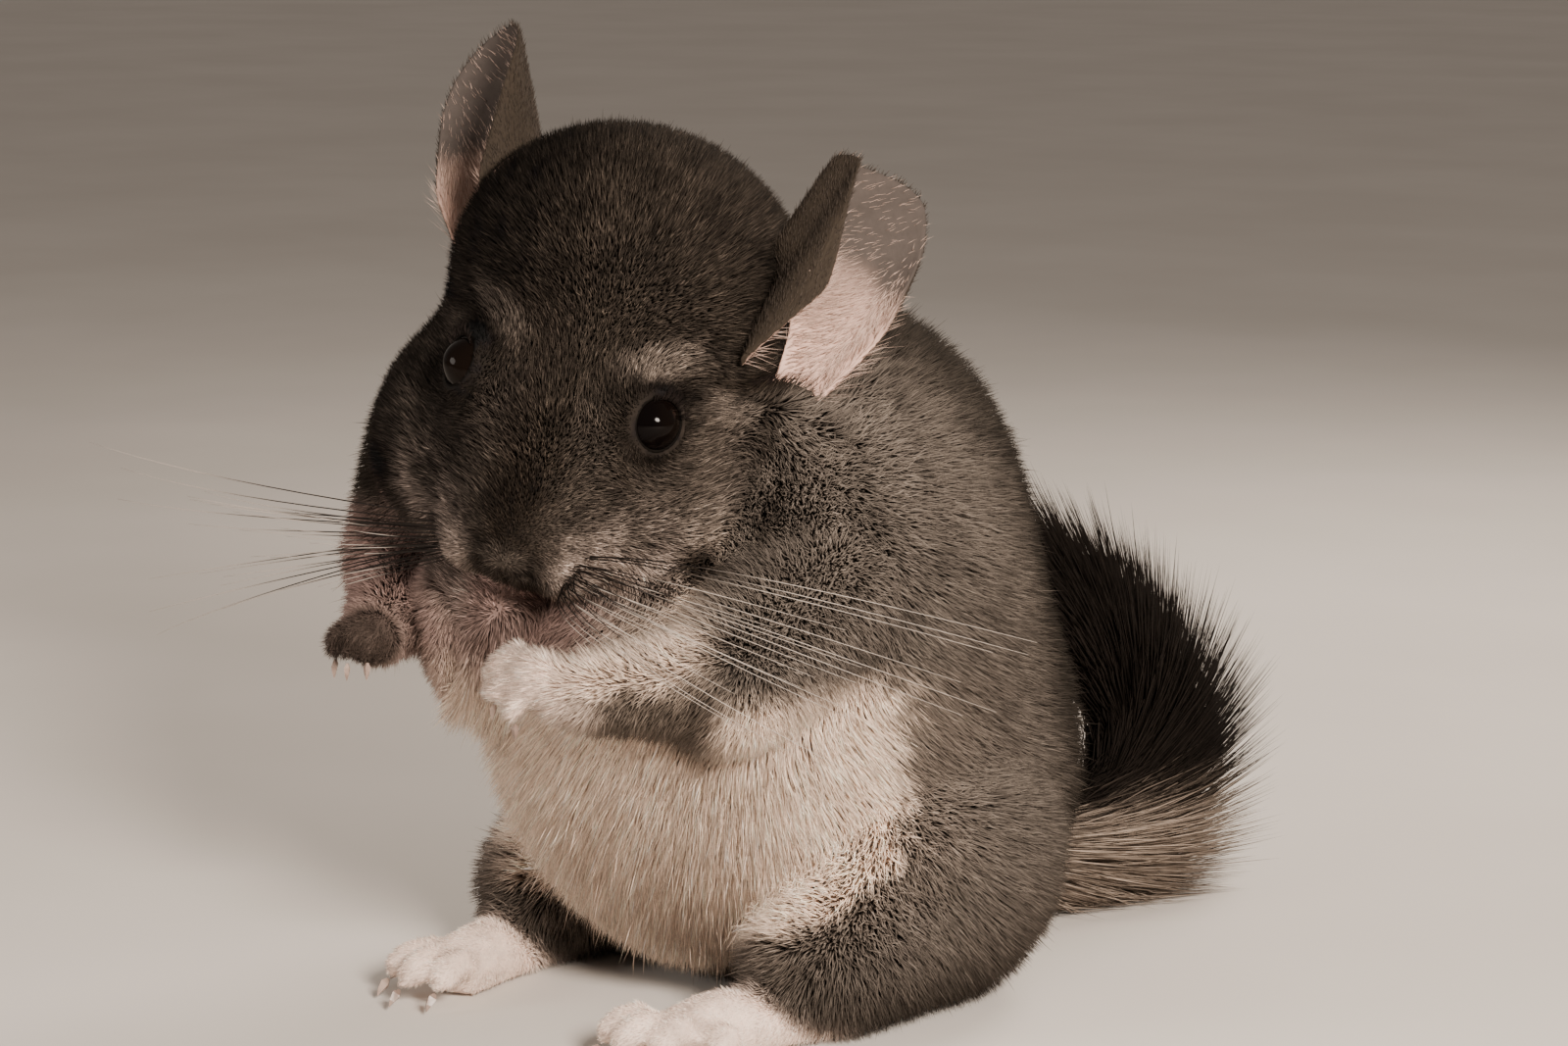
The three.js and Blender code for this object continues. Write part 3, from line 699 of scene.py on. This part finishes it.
def spread(surface, perArea):
    p = surface["points"]
    c = surface["corners"]
    a, b, d = p[c[:, 0]], p[c[:, 1]], p[c[:, 2]]
    area = np.linalg.norm(np.cross(b - a, d - a), axis=1) / 2
    expected = area * perArea((a + b + d) / 3, unit(np.cross(b - a, d - a)))
    count = np.floor(expected + dice.random(len(expected))).astype(int)
    face = np.repeat(np.arange(len(c)), count)
    u, v = dice.random(len(face)), dice.random(len(face))
    flip = u + v > 1
    u[flip], v[flip] = 1 - u[flip], 1 - v[flip]
    w = np.stack([1 - u - v, u, v], axis=1)
    root = np.einsum("ij,ijk->ik", w, p[c[face]])
    normal = unit(np.einsum("ij,ijk->ik", w, surface["normals"][c[face]]))
    uv = np.einsum("ij,ijk->ik", w, surface["uv"][surface["loops"][face]])
    return root, normal, uv


def nearestOf(seeds, points):
    tree = KDTree(len(seeds))
    for i, seed in enumerate(seeds):
        tree.insert(seed, i)
    tree.balance()
    return np.fromiter((tree.find(p)[1] for p in points), int, len(points))


# each hair lock is a closed three-sided taper, straight or bent once
spikes = {
    "turns": (0, 2.094, 4.189),
    "straight": [(0, 2, 1), (0, 1, 3), (1, 2, 3), (2, 0, 3)],
    "bent": [
        (0, 2, 1), (0, 1, 4), (0, 4, 3), (1, 2, 5), (1, 5, 4),
        (2, 0, 3), (2, 3, 5), (3, 4, 6), (4, 5, 6), (5, 3, 6),
    ],
    "rootPatch": [[-1, -1], [1, -1], [0, -0.6]],
    "middlePatch": [[-0.8, 0], [0.8, 0], [0, 0.2]],
    "patchHalf": 0.0015,
}


def buildSpikes(name, hairs, material):
    root, tip, width, side, over = hairs["root"], hairs["tip"], hairs["width"], hairs["side"], hairs["over"]
    bent = "middle" in hairs
    n = len(root)

    def ring(centre, radius):
        offs = [side * math.cos(turn) + over * math.sin(turn) for turn in spikes["turns"]]
        return [centre + off * (width * radius)[:, None] for off in offs]

    rows = ring(root, 0.5) + (ring(hairs["middle"], 0.36) if bent else []) + [tip]
    per = len(rows)
    points = np.stack(rows, axis=1).reshape(-1, 3)
    pattern = spikes["bent" if bent else "straight"]
    faces = (np.array(pattern)[None] + (np.arange(n) * per)[:, None, None]).reshape(-1, 3)
    mesh = bpy.data.meshes.new(name)
    mesh.vertices.add(len(points))
    mesh.vertices.foreach_set("co", toWorld(points).astype(np.float32).ravel())
    mesh.loops.add(len(faces) * 3)
    mesh.loops.foreach_set("vertex_index", faces.astype(np.int32).ravel())
    mesh.polygons.add(len(faces))
    mesh.polygons.foreach_set("loop_start", np.arange(0, len(faces) * 3, 3, dtype=np.int32))
    mesh.update()
    mesh.shade_smooth()
    shades = [hairs["rootTone"]] * 3 + ([hairs["middleTone"]] * 3 if bent else []) + [hairs["tipTone"]]
    paint(mesh, "coatColour", np.stack(shades, axis=1).reshape(-1, 3))
    patch = spikes["rootPatch"] + (spikes["middlePatch"] if bent else []) + [[0, 1]]
    corner = np.array(patch) * spikes["patchHalf"]
    uv = (hairs["uv"][:, None, :] + corner[None]).reshape(-1, 2)
    layer = mesh.uv_layers.new(name="OFBake")
    layer.data.foreach_set("uv", uv[faces.ravel()].astype(np.float32).ravel())
    mesh.materials.append(material)
    piece = linkMesh(name, mesh)
    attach(piece, "root")
    return piece


def raised(lie, normal, lift, scatter):  # directions lifted off the surface by an angle, with some scatter
    noise = dice.normal(0, scatter, (len(lie), 3))
    return unit(lie * np.cos(lift)[:, None] + normal * np.sin(lift)[:, None] + noise)


def clumpDensity(centre, normal):
    return 1 / growthAt(regionShares(centre), "clump") ** 2


def growCoat(surface, density):
    root, normal, uv = spread(surface, density)
    chosen = ~inOpening(root)
    root, normal, uv = root[chosen], normal[chosen], uv[chosen]
    shares = regionShares(root)
    lie = lieAt(root, normal, shares)
    near = eyeGap(root)
    inward = smoothStep(15.5, 12.5, np.abs(toHead(root)[:, 0]))
    short = np.maximum(smoothStep(0.5, 8, near), inward * 0.75)
    depth = growthAt(shares, "depth") * (0.35 + 0.65 * short)
    lift = np.radians(growthAt(shares, "lift"))
    belly = shares[:, regionAt["torso"]] * smoothStep(-15, -32, root[:, 1]) * smoothStep(85, 70, root[:, 2])
    lift = lift * (1 - 0.35 * belly)
    length = depth / np.sin(lift) * dice.uniform(0.82, 1.16, len(root))
    lift = lift * dice.uniform(0.75, 1.25, len(root))
    way = raised(lie, normal, lift, 0.13)
    # the locks near one seed gather towards its tip
    seedRoot, seedNormal, _ = spread(surface, clumpDensity)
    seedShares = regionShares(seedRoot)
    seedLie = lieAt(seedRoot, seedNormal, seedShares)
    seedLift = np.radians(growthAt(seedShares, "lift")) * dice.uniform(0.8, 1.2, len(seedRoot))
    seedWay = raised(seedLie, seedNormal, seedLift, 0.12)
    seedTone = dice.normal(0, 1, len(seedRoot))
    group = nearestOf(seedRoot, root)
    gather = growthAt(shares, "gather") * dice.uniform(0.5, 1.2, len(root))
    aim = seedRoot[group] + seedWay[group] * length[:, None]
    tip = root + way * length[:, None]
    tip = tip + (aim - tip) * gather[:, None]
    tip[:, 2] = np.maximum(tip[:, 2], 0.35 - shift[2])
    base = markings(root, normal, shares)
    strong = 0.24 + 0.36 * (shares[:, regionAt["head"]] + shares[:, regionAt["muzzle"]])
    fleck = np.exp(0.10 * seedTone[group] + dice.normal(0, 1, len(root)) * strong)
    fleck[dice.random(len(root)) < 0.25] *= 0.6
    fleck = np.clip(fleck, 0.2, 3.6)
    side = unit(np.cross(way, normal + 1e-4))
    bright = smoothStep(0.25, 0.6, base.mean(axis=1))[:, None]  # pale fur is pale to its roots
    root = root - normal * 0.35
    root[:, 2] = np.maximum(root[:, 2], 0.5 - shift[2])
    return {
        "root": root,
        "tip": tip,
        "width": growthAt(shares, "width") * (0.6 + 0.4 * short) * dice.uniform(0.8, 1.25, len(root)),
        "side": side,
        "over": -np.cross(side, way),
        "rootTone": base * (0.42 + 0.38 * bright),
        "middleTone": base * 0.85,
        "tipTone": np.clip(base * fleck[:, None], 0.004, 1),
        "uv": uv,
        "normal": normal,
        "length": length,
        "shares": shares,
    }


def inOpening(root):  # before an eye or in a nostril, where no fur grows
    hidden = np.zeros(len(root), bool)
    for side, centre in eyes.items():
        off = root - centre
        reach = np.linalg.norm(off, axis=1)
        ahead = (off / np.maximum(reach, 1e-6)[:, None]) @ eyeWays[side]
        hidden |= (reach < head["eyeRadius"] + 0.9) & (ahead > 0.44)
    return hidden | (nostrilGap(toHead(root)) < 1.5)


surface = surfaceOf(skin)


def coatDensity(centre, normal):
    shares = regionShares(centre)
    density = growthAt(shares, "density")
    density *= 1 - shares[:, regionAt["tail"]]
    under = smoothStep(3.0, 0.8, centre[:, 2]) * smoothStep(-0.5, -0.9, normal[:, 2])
    return density * (1 - under)


hairs = growCoat(surface, coatDensity)
report(f"{len(hairs['root'])} locks grown")


def pick(hairs, chosen, bent=False):
    part = {key: value[chosen] for key, value in hairs.items()}
    if bent:
        way = part["tip"] - part["root"]
        part["middle"] = part["root"] + way * 0.5 + part["normal"] * (part["length"] * 0.07)[:, None]
    return part


coatZones = {"head": ["head", "muzzle"], "body": ["torso", "arm", "thigh", "tail"], "paws": ["paw", "foot"]}
mostLocks = 48000  # in one piece


def buildCoat(hairs):
    name = np.array(regionNames)[hairs["shares"].argmax(axis=1)]
    for label, members in coatZones.items():
        index = np.flatnonzero(np.isin(name, members))
        order = hairs["root"][index] @ np.array([0.3, 1.0, 0.5])
        index = index[np.argsort(order, kind="stable")]
        parts = max(1, math.ceil(len(index) / mostLocks))
        for n, chunk in enumerate(np.array_split(index, parts)):
            buildSpikes(f"coat_{label}_{n + 1}", pick(hairs, chunk), coatMaterial)
        report(f"{len(index)} locks on the {label}")


buildCoat(hairs)


def guardDensity(centre, normal):
    shares = regionShares(centre)
    hairy = 1 - shares[:, [regionAt["paw"], regionAt["foot"], regionAt["tail"]]].sum(axis=1)
    q = toHead(centre)
    crown = smoothStep(30, 44, q[:, 2]) * smoothStep(50, 66, q[:, 1]) * shares[:, regionAt["head"]]
    face = shares[:, regionAt["muzzle"]] + smoothStep(45, 30, q[:, 1]) * shares[:, regionAt["head"]]
    return 0.11 * hairy * (1 - 0.8 * np.clip(face, 0, 1)) * (1 + 4 * crown) * smoothStep(2, 6, centre[:, 2])


guards = growCoat(surface, guardDensity)
longer = dice.uniform(1.05, 1.45, len(guards["root"]))
guards["tip"] = guards["root"] + (guards["tip"] - guards["root"]) * longer[:, None]
guards["tip"][:, 2] = np.maximum(guards["tip"][:, 2], 0.4 - shift[2])
guards["width"] = guards["width"] * 0.55
buildSpikes("coat_guard", pick(guards, np.arange(len(guards["root"])), bent=True), coatMaterial)
report(f"coat built, {len(guards['root'])} guard hairs")


# eyes, each with a thin dark rim of lid and a few lashes at its outer corner
lidPlan = {
    "profile": (  # degrees from the eye's axis, mm out from the eyeball
        (72, 0.0), (66, 0.3), (61, 0.42), (58, 0.36), (56.5, 0.2), (56.5, 0.06), (60, -0.35), (66, -0.6), (72, -0.6),
    ),
    "lashes": 46,
}


def eyeMatrix(side):  # sets a piece made along +Z at the eye's centre, looking out
    aim = Vector(eyeWays[side]).to_track_quat("Z", "Y").to_matrix().to_4x4()
    return Matrix.Translation(Vector(toWorld(eyes[side]))) @ aim


def makeEye(side):
    centre = Vector(toWorld(eyes[side]))
    bm = bmesh.new()
    radius = head["eyeRadius"] * mm
    bmesh.ops.create_uvsphere(bm, u_segments=48, v_segments=32, radius=radius, matrix=eyeMatrix(side))
    for vert in bm.verts:  # the clear front stands a little proud
        ahead = (vert.co - centre).normalized().dot(Vector(eyeWays[side]))
        vert.co += Vector(eyeWays[side]) * 0.35 * mm * max(0.0, (ahead - 0.75) / 0.25) ** 2
    eye = fromBmesh(side + "_eyeball", bm)
    eye.data.materials.append(eyeMaterial)
    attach(eye, "root")
    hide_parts(side + "_eye")


def makeLids(side):
    bm = bmesh.new()
    profile = []
    for degrees, out in lidPlan["profile"]:
        a = math.radians(degrees)
        reach = (head["eyeRadius"] + out) * mm
        profile.append(bm.verts.new((reach * math.sin(a), 0, reach * math.cos(a))))
    edges = [bm.edges.new((profile[i], profile[(i + 1) % len(profile)])) for i in range(len(profile))]
    bmesh.ops.spin(
        bm, geom=profile + edges, cent=(0, 0, 0), axis=(0, 0, 1), dvec=(0, 0, 0), angle=math.tau, steps=48,
        use_merge=True, use_duplicate=False,
    )
    bmesh.ops.remove_doubles(bm, verts=bm.verts, dist=1e-6)
    bmesh.ops.recalc_face_normals(bm, faces=bm.faces)
    bmesh.ops.transform(bm, matrix=eyeMatrix(side), verts=bm.verts)
    lids = fromBmesh(side + "_lids", bm)
    lids.data.materials.append(lidMaterial)
    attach(lids, "root")


def makeLashes(side, sign):
    count = lidPlan["lashes"]
    way = eyeWays[side]
    back = unit(headTurn @ np.array([sign * 0.25, 0.8, 0.55]))
    back = unit(back - way * (back @ way))
    cross = np.cross(way, back)
    turn = dice.uniform(-0.9, 0.9, count)
    rim = back * np.cos(turn)[:, None] + cross * np.sin(turn)[:, None]
    radius = head["eyeRadius"]
    root = eyes[side] + (way * 0.64 + rim * 0.77) * (radius + 0.3)
    out = unit(rim * 0.9 + way * 0.35 + back * 0.5 + dice.normal(0, 0.12, (count, 3)))
    length = dice.uniform(1.6, 3.6, count) * (1 - 0.4 * np.abs(turn))
    sideways = unit(np.cross(out, way))
    tone = np.tile(np.array([0.012, 0.009, 0.008]), (count, 1))
    lashes = {
        "root": root,
        "middle": root + out * (length * 0.5)[:, None] + way * 0.25,
        "tip": root + out * length[:, None],
        "width": np.full(count, 0.30), "side": sideways, "over": -np.cross(sideways, out),
        "rootTone": tone, "middleTone": tone, "tipTone": tone, "uv": dice.uniform(0.4, 0.6, (count, 2)),
    }
    buildSpikes(side + "_lashes", lashes, coatMaterial)


for side, sign in sides.items():
    makeEye(side)
    makeLids(side)
    makeLashes(side, sign)
report("eyes")


# ears: the solids' own cups, smoothed and let down into the coat
earTones = {
    "inner": (0.060, 0.050, 0.045), "outer": (0.030, 0.023, 0.017), "base": (0.60, 0.40, 0.33),
    "fuzzIn": (0.62, 0.46, 0.39), "fuzzOut": (0.055, 0.044, 0.036),
}


def earFrame(side):
    plan = ears[side]
    root = np.array(plan["root"], float)
    axis = np.subtract(plan["tip"], plan["root"]).astype(float)
    height = np.linalg.norm(axis)
    axis /= height
    opening = np.array(plan["open"], float)
    opening = unit(opening - axis * (opening @ axis))
    return root, axis, height, opening


def earFacing(side, p, normal, share):  # above 0 on the inside of the cup
    root, axis, height, opening = earFrame(side)
    hub = root + axis * (share * height)[:, None] + opening * ears[side]["girth"] * 0.9
    return np.einsum("ij,ij->i", normal, unit(hub - p))


def makeEar(side):
    root, axis, height, opening = earFrame(side)
    bm = bmesh.new()
    bm.from_mesh(nodes[side + "_ear"].data)
    bmesh.ops.remove_doubles(bm, verts=bm.verts, dist=2e-5)
    bmesh.ops.recalc_face_normals(bm, faces=bm.faces)
    ear = fromBmesh(side + "_ear_raw", bm)
    divide = ear.modifiers.new("divide", "SUBSURF")
    divide.levels = divide.render_levels = 2
    ear = evaluated(ear, side + "_ear_shell")
    points, normals = readPoints(ear.data)
    p = fromWorld(points)
    share = (p - root) @ axis / height
    # the deep left part of the near cup is pressed out, away from the camera
    ahead = np.array([0.696, -0.696, 0.174])
    aside = np.array([0.707, 0.707, 0.0])
    off = p - root - axis * (share * height)[:, None] - opening * 6
    behind = smoothStep(8, -2, off @ ahead) * smoothStep(5, -7, off @ aside) * smoothStep(0.05, 0.5, share)
    p = p + np.array(ears[side]["billow"]) * behind[:, None]
    deep = smoothStep(0.30, -0.05, share)
    p = p - axis * (deep * 5.5)[:, None] + np.array(ears[side]["nudge"])
    writePoints(ear.data, toWorld(p))
    inside = smoothStep(-0.25, 0.25, earFacing(side, p, normals, share))
    inner, outer, base = (np.array(earTones[key]) for key in ("inner", "outer", "base"))
    colour = outer + (inner - outer) * inside[:, None]
    colour = colour + (base - colour) * (smoothStep(0.52, 0.10, share + wave(p, 12, 4) * 0.05) * inside)[:, None]
    paint(ear.data, "coatColour", np.clip(colour * (1 + 0.08 * wave(p, 6, 9))[:, None], 0.01, 1))
    ear.data.materials.append(earMaterial)
    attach(ear, "root")
    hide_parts(side + "_ear")
    return ear


def earFuzz(side, ear):
    root, axis, height, opening = earFrame(side)
    place, normal, uv = spread(surfaceOf(ear), lambda c, n: np.full(len(c), 3.2))
    share = (place - root) @ axis / height
    inside = earFacing(side, place, normal, share) > 0
    keep = np.where(inside, dice.random(len(place)) < 0.12 + 0.8 * smoothStep(0.62, 0.1, share), True)
    place, normal, uv, share, inside = (v[keep] for v in (place, normal, uv, share, inside))
    aim = axis + np.where(inside, ears[side]["fuzzSlant"], 0.0)[:, None] * np.cross(axis, opening)
    up = aim - normal * np.einsum("ij,ij->i", normal, aim)[:, None]
    lift = np.radians(np.where(inside, 26, 16))
    way = raised(unit(up), normal, lift, 0.14)
    length = np.where(inside, 2.2 + 3.6 * smoothStep(0.5, 0.1, share), 1.7) * dice.uniform(0.7, 1.2, len(place))
    tone = np.where(inside[:, None], earTones["fuzzIn"], earTones["fuzzOut"])
    tone = tone * dice.uniform(0.7, 1.3, len(place))[:, None]
    across = unit(np.cross(way, normal + 1e-4))
    hairs = {
        "root": place - normal * 0.2, "tip": place + way * length[:, None], "width": np.where(inside, 0.12, 0.22),
        "side": across, "over": -np.cross(across, way),
        "rootTone": tone * 0.7, "tipTone": np.clip(tone, 0.004, 1), "uv": uv,
    }
    buildSpikes(side + "_ear_fuzz", hairs, coatMaterial)


for side in sides:
    ear = makeEar(side)
    unwrap(ear)
    earFuzz(side, ear)
report("ears")


# whiskers
fans = {
    "left": {"high": (1.0, -0.58, 0.2), "low": (0.62, -1, 0), "trail": (0.15, 0.8, -0.34), "reach": 67},
    "right": {"high": (-0.86, -0.86, 0.04), "low": (-0.8, -0.68, -0.26), "trail": (-0.12, 0.44, -0.04), "reach": 64},
}


whiskerPlan = {
    "rows": 5, "perRow": 6, "steps": 12, "shortest": 32, "rootRadius": 0.15, "tipRadius": 0.03,
    "dark": (0.008, 0.006, 0.005), "pale": (0.42, 0.37, 0.33), "paleFrom": 0.45, "paleTo": 0.7,
}


def makeWhiskers(side, sign):
    fan = fans[side]
    bm = bmesh.new()
    tone = bm.verts.layers.float_color.new("coatColour")
    rows, perRow, steps = (whiskerPlan[key] for key in ("rows", "perRow", "steps"))
    dark, pale = np.array(whiskerPlan["dark"]), np.array(whiskerPlan["pale"])
    for row in range(rows):
        for n in range(perRow):
            share = (n + dice.uniform(-0.2, 0.2)) / (perRow - 1)
            height = row / (rows - 1)
            length = (whiskerPlan["shortest"] + fan["reach"] * np.clip(share, 0, 1)) * dice.uniform(0.8, 1)
            root = fromHead((sign * (10.4 + 0.8 * share), 4.4 + 5 * share, -8 + 5 * height))
            out = np.array(fan["low"]) * (1 - height) + np.array(fan["high"]) * height
            out = unit(out + np.array([0, (share - 0.6) * 0.4, dice.uniform(-0.02, 0.12)]))
            trail = np.array(fan["trail"]) * dice.uniform(0.8, 1.1)
            line = [root + out * (t * length) + trail * (t * t * length) for t in np.linspace(-0.02, 1, steps)]
            before = None
            for i, point in enumerate(line):
                t = i / (steps - 1)
                ahead = line[min(i + 1, steps - 1)] - line[max(i - 1, 0)]
                turn = Vector(ahead).to_track_quat("Z", "Y").to_matrix().to_4x4()
                thinning = whiskerPlan["rootRadius"] - whiskerPlan["tipRadius"]
                radius = (thinning * (1 - t) + whiskerPlan["tipRadius"]) * mm
                matrix = Matrix.Translation(Vector(toWorld(point))) @ turn
                ring = bmesh.ops.create_circle(bm, cap_ends=False, segments=4, radius=radius, matrix=matrix)["verts"]
                white = smoothStep(whiskerPlan["paleFrom"], whiskerPlan["paleTo"], np.array([t]))[0]
                colour = dark * (1 - white) + pale * white
                for vert in ring:
                    vert[tone] = (*colour, 1)
                if before:
                    for k in range(4):
                        bm.faces.new((before[k], before[(k + 1) % 4], ring[(k + 1) % 4], ring[k]))
                else:
                    bm.faces.new(ring[::-1])
                before = ring
            bm.faces.new(before)
    bmesh.ops.recalc_face_normals(bm, faces=bm.faces)
    piece = fromBmesh(side + "_whisker_hairs", bm)
    piece.data.materials.append(whiskerMaterial)
    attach(piece, "root")
    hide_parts(side + "_whiskers")


for side, sign in sides.items():
    makeWhiskers(side, sign)
report("whiskers")


# tail brush: long bent locks that stand off round the core
brush = {"count": 13000, "coreRadius": 7.5, "taper": 3.5, "leastHeights": {"tip": 0.6, "middle": 0.9, "root": 1.2}}


def tailBrush():
    count = brush["count"]
    index = dice.uniform(2, len(spine) - 1.01, count)
    whole = index.astype(int)
    part = (index - whole)[:, None]
    centre = spine[whole] * (1 - part) + spine[whole + 1] * part
    along = spineWay[whole]
    share = index / (len(spine) - 1)
    sideways = unit(np.array([1.0, 0, 0]) - along * along[:, :1])
    outer = np.cross(along, sideways)
    turn = dice.uniform(0, math.tau, count)
    off = sideways * np.cos(turn)[:, None] + outer * np.sin(turn)[:, None]
    radius = brush["coreRadius"] - brush["taper"] * share
    root = centre + off * (radius * 0.85)[:, None]
    lean = dice.uniform(0.28, 0.62, count)
    way = unit(along + off * lean[:, None] + dice.normal(0, 0.08, (count, 3)))
    length = (22 + 12 * np.sin(np.pi * np.minimum(share + 0.25, 1) * 0.8)) * dice.uniform(0.6, 1.08, count)
    length *= 0.5 + 0.5 * smoothStep(0.0, 0.25, share)
    bend = along * (length * 0.14)[:, None]
    middle = root + way * (length * 0.5)[:, None] + off * (length * 0.05)[:, None]
    tip = root + way * length[:, None] + bend
    for key, points in (("tip", tip), ("middle", middle), ("root", root)):
        points[:, 2] = np.maximum(points[:, 2], brush["leastHeights"][key] - shift[2])
    light = smoothStep(0.3, 0.8, np.abs(np.cos(turn)) + dice.normal(0, 0.12, count))
    light = (light * smoothStep(32, 17, tip[:, 2] + dice.normal(0, 3, count)))[:, None]  # pale low on the sides
    tone = np.array(tones["tailDark"]) * (1 - light) + np.array(tones["tailLight"]) * light
    tone = tone * dice.uniform(0.6, 1.4, count)[:, None]
    side = unit(np.cross(way, off))
    hairs = {
        "root": root, "middle": middle, "tip": tip,
        "width": dice.uniform(0.30, 0.53, count), "side": side, "over": -np.cross(side, way),
        "rootTone": tone * 0.5, "middleTone": tone * 0.9, "tipTone": np.clip(tone, 0.004, 1),
        "uv": np.stack([share * 0.9 + 0.05, turn / math.tau * 0.9 + 0.05], axis=1),
    }
    piece = buildSpikes("tail_brush", hairs, coatMaterial)
    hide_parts("tail_base", "tail_middle", "tail_tip")


tailBrush()
report("tail")

# claws keep the solids' shapes
for name, node in nodes.items():
    if "_claw_" in name:
        node.data.materials.clear()
        node.data.materials.append(clawMaterial)


# floor and light
stage = {
    "floorSize": 9,
    "floorColours": ((0.62, 0.58, 0.54), (0.66, 0.62, 0.58)),
    "sky": ((0.84, 0.74, 0.65, 1), 0.34),
    "lamps": (  # name, place in mm, watts, size in metres, colour
        ("key", (660, -330, 400), 15, 0.2, (1.0, 0.88, 0.77)),
        ("fill", (-320, -700, 260), 2.4, 0.3, (1.0, 0.90, 0.82)),
        ("rim", (-60, 560, 520), 4.0, 0.35, (1.0, 0.88, 0.76)),
    ),
}


def addStage():
    bm = bmesh.new()
    bmesh.ops.create_grid(bm, x_segments=1, y_segments=1, size=stage["floorSize"])
    floor = fromBmesh("floor", bm, smooth=False)
    floor.data.materials.append(grained("floor_paint", 0.8, 0.2, 30, 0.02, 0.05, colours=stage["floorColours"]))
    world = bpy.data.worlds.new("studio")
    bpy.context.scene.world = world
    world.use_nodes = True
    sky = world.node_tree.nodes["Background"]
    sky.inputs["Color"].default_value, sky.inputs["Strength"].default_value = stage["sky"]
    for name, place, power, size, colour in stage["lamps"]:
        data = bpy.data.lights.new(name, "AREA")
        data.energy = power
        data.size = size
        data.shape = "DISK"
        data.color = colour
        lamp = bpy.data.objects.new(name, data)
        lamp.location = Vector(toWorld(place))
        aim = Vector(toWorld((0, 0, 80))) - lamp.location
        lamp.rotation_euler = aim.to_track_quat("-Z", "Y").to_euler()
        bpy.context.scene.collection.objects.link(lamp)


addStage()
report("stage")
